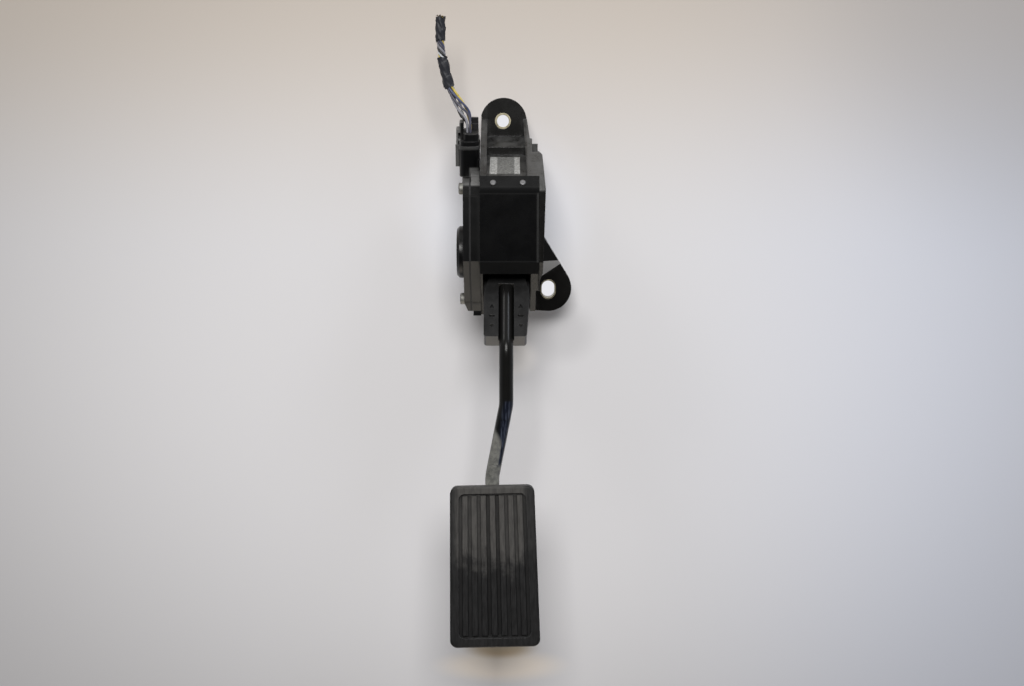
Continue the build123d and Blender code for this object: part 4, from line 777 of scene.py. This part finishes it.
finishes["label_foil"] = bare_label()
print("finishes in all:", len(finishes))

# %% [markdown]
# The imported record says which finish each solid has. New pieces take the finish of what they stand for.

# %% Every solid gets the finish of its slot
SLOT_OF = {row["node"]: row["material_slot"] for row in frame["record"]["subparts"]}
for node, piece in nodes.items():
    piece.data.materials.clear()
    piece.data.materials.append(finishes[SLOT_OF[node]])
for node, (wire, places, length) in wire_pieces.items():
    wire.data.materials.append(finishes[SLOT_OF[node]])
for core in copper_pieces:
    core.data.materials.append(finishes["pin_brass"])
for coil in spring_pieces:
    coil.data.materials.clear()
    coil.data.materials.append(finishes["spring_steel"])
for node, tape in tape_pieces.items():
    tape.data.materials.clear()
    tape.data.materials.append(finishes["tape_black"])
print("dressed:", len(nodes), "solids")

# %% [markdown]
# The pedal is shown as it is fixed, on a pale wall with two bolt holes. The wall is clear from behind, so
# that the back of the pedal can be looked at too, and it fades out far from the pedal. Its colour holds
# painted light: it darkens outward in a painted falloff, is tinted by a painted warm light above and a
# painted cool light on the right, and has painted shadows and lit patches round the pedal.

# %% Pale wall
WALL_Y = 13 * MM
WALL_HALF = 1.6
WALL_BRIGHT = (0.727, 0.722, 0.742, 1)
WALL_PAINTED_DIM = (0.448, 0.443, 0.453, 1)
PAINTED_WARM_LIGHT = (0.92, 0.845, 0.745, 1)
PAINTED_COOL_LIGHT = (1.0, 1.05, 1.15, 1)
# Distances in metres for the painted falloff and the painted warm and cool light, and where the wall fades
# out
PAINTED_FALLOFF = (0.1, 0.36)
WARMS = (-0.08, 0.08)
COOLS = (0.05, 0.3)
FADES = (0.4, 0.9)
BOLT_HOLES = [(0.0, 0.0, 5 * MM), (25.3 * MM, -93.3 * MM, 7 * MM)]
# Right behind the housing the wall is clear to mirrored light, so the housing's back is lit
CLEAR_BEHIND = [("X", -22, 20), ("Z", -106, 12)]
# Painted light and shade on the wall: lit patches beside the housing, in the lever's shadow and below the
# pad, painted shadows below the lower lug and right under the pad, and a dimmer top right corner.
# Each: middle X and Z, reach across and down in mm, and the colour it is multiplied by
WALL_PAINTED_LIGHT_AND_SHADE = [
    (-2, -52, 64, 62, (1.15, 1.18, 1.23, 1)),
    (34, -121, 24, 22, (0.86, 0.86, 0.86, 1)),
    (8, -135, 15, 14, (1.24, 1.22, 1.18, 1)),
    (-2, -322, 45, 13, (1.30, 1.20, 1.06, 1)),
    (-2, -311, 26, 8, (0.71, 0.61, 0.46, 1)),
    (290, 70, 150, 170, (0.91, 0.915, 0.92, 1)),
]

sheet = bmesh.new()
corners = [(-1, -1), (1, -1), (1, 1), (-1, 1)]
sheet.faces.new([sheet.verts.new((x * WALL_HALF, WALL_Y, z * WALL_HALF)) for x, z in corners])
backdrop_mesh = bpy.data.meshes.new("backdrop")
sheet.to_mesh(backdrop_mesh)
sheet.free()
backdrop = bpy.data.objects.new("backdrop", backdrop_mesh)
scene.collection.objects.link(backdrop)
backdrop.visible_shadow = False
backdrop.visible_diffuse = False

paper, tree, shader = new_material("pale_wall")
tree.nodes.remove(shader)
place = object_place(tree)
spread = {"Vector": place, "Location": (0.0, 0.0, 0.147), "Scale": (0.8, 0.0, 1.0)}
around = put(tree, "ShaderNodeMapping", spread).outputs[0]
from_middle = put(tree, "ShaderNodeVectorMath", {0: around}, operation="LENGTH").outputs["Value"]
parts = put(tree, "ShaderNodeSeparateXYZ", {0: place}).outputs
# Painted falloff, then painted warm light above and painted cool light on the right.
colour = tint(tree, remap(tree, from_middle, *PAINTED_FALLOFF), WALL_BRIGHT, WALL_PAINTED_DIM)
colour = tint(tree, remap(tree, parts["Z"], *WARMS), colour, PAINTED_WARM_LIGHT, "MULTIPLY")
colour = tint(tree, remap(tree, parts["X"], *COOLS), colour, PAINTED_COOL_LIGHT, "MULTIPLY")
# Painted lit patches and painted shadows, each multiplied in round its middle.
for x, z, reach_x, reach_z, shade in WALL_PAINTED_LIGHT_AND_SHADE:
    away = {"Vector": place, "Location": (-x / reach_x, 0.0, -z / reach_z),
            "Scale": (1 / (reach_x * MM), 0.0, 1 / (reach_z * MM))}
    offset = put(tree, "ShaderNodeMapping", away).outputs[0]
    distance = put(tree, "ShaderNodeVectorMath", {0: offset}, operation="LENGTH").outputs["Value"]
    colour = tint(tree, remap(tree, distance, 1.0, 0.35), colour, shade, "MULTIPLY")
wall = put(tree, "ShaderNodeBsdfDiffuse", {"Color": colour})
clear = put(tree, "ShaderNodeBsdfTransparent")
far = remap(tree, from_middle, *FADES)
open_share = calc(tree, "MAXIMUM", put(tree, "ShaderNodeNewGeometry").outputs["Backfacing"], far)
for x, z, radius in BOLT_HOLES:
    off = put(tree, "ShaderNodeVectorMath", {0: place, 1: (x, WALL_Y, z)}, operation="DISTANCE")
    inside = calc(tree, "LESS_THAN", off.outputs["Value"], radius)
    open_share = calc(tree, "MAXIMUM", open_share, inside)
mirrored = put(tree, "ShaderNodeLightPath").outputs["Is Glossy Ray"]
window = calc(tree, "MULTIPLY", mirrored, zone(tree, CLEAR_BEHIND))
open_share = calc(tree, "MAXIMUM", open_share, window)
either = put(tree, "ShaderNodeMixShader", {0: open_share, 1: wall.outputs[0], 2: clear.outputs[0]})
tree.links.new(either.outputs[0], tree.nodes["Material Output"].inputs["Surface"])
backdrop_mesh.materials.append(paper)
print("wall:", tuple(round(x, 2) for x in backdrop.dimensions))

# %% [markdown]
# One soft lamp hangs above the camera, so the shadows fall straight down. Two small windows only draw
# highlights on round pieces. The room is dark in front, which keeps the black plastic black there, and pale
# behind, which lights the back of the pedal.

# %% Lamps and room
def soft_lamp(name, place, aim, size, power, colour):
    """Rectangular area lamp at a place, turned to a point."""
    lamp = bpy.data.lights.new(name, "AREA")
    lamp.shape = "RECTANGLE"
    lamp.size, lamp.size_y = size
    lamp.energy = power
    lamp.color = colour
    piece = bpy.data.objects.new(name, lamp)
    piece.location = place
    piece.rotation_euler = (Vector(aim) - Vector(place)).to_track_quat("-Z", "Y").to_euler()
    scene.collection.objects.link(piece)
    return piece


AIM = (0, 0, -0.13)
soft_lamp("lamp_above", (0, -1.43, 0.6), AIM, (0.75, 0.5), 20.0, (1.0, 0.985, 0.965))
soft_lamp("window_left", (-0.7, -0.55, 0.82), AIM, (0.25, 0.25), 1.2, (1.0, 0.98, 0.95))
soft_lamp("window_right", (0.64, -0.56, 0.8), AIM, (0.25, 0.25), 1.5, (0.84, 0.9, 1.0))

BACKGROUND = (0.80, 0.80, 0.83, 1)
RIM_LOW = (1.10, 1.04, 0.96, 1)
RIM_HIGH = (1.30, 1.29, 1.28, 1)
RIM_BELOW = (2.6, 2.4, 2.1, 1)
RIM_BESIDE = (0.40, 0.41, 0.43, 1)
DARK_FRONT = (0.03, 0.03, 0.033, 1)
world = bpy.data.worlds.new("room")
scene.world = world
world.use_nodes = True
tree = world.node_tree
look = put(tree, "ShaderNodeTexCoord").outputs["Generated"]
parts = put(tree, "ShaderNodeSeparateXYZ", {0: look}).outputs
front = remap(tree, calc(tree, "MULTIPLY", parts["Y"], -1.0), 0.15, 0.75)
above = remap(tree, parts["Z"], -0.7, 0.7)
beside = remap(tree, calc(tree, "ABSOLUTE", parts["X"]), 0.35, 0.85)
rim = tint(tree, above, RIM_LOW, RIM_HIGH)
rim = tint(tree, remap(tree, parts["Z"], -0.7, -0.95), rim, RIM_BELOW)
rim = tint(tree, beside, rim, RIM_BESIDE)
room = tint(tree, front, rim, DARK_FRONT)
room = tint(tree, remap(tree, parts["Y"], 0.3, 0.7), room, BACKGROUND)
room = tint(tree, put(tree, "ShaderNodeLightPath").outputs["Is Camera Ray"], room, BACKGROUND)
tree.links.new(room, tree.nodes["Background"].inputs["Color"])
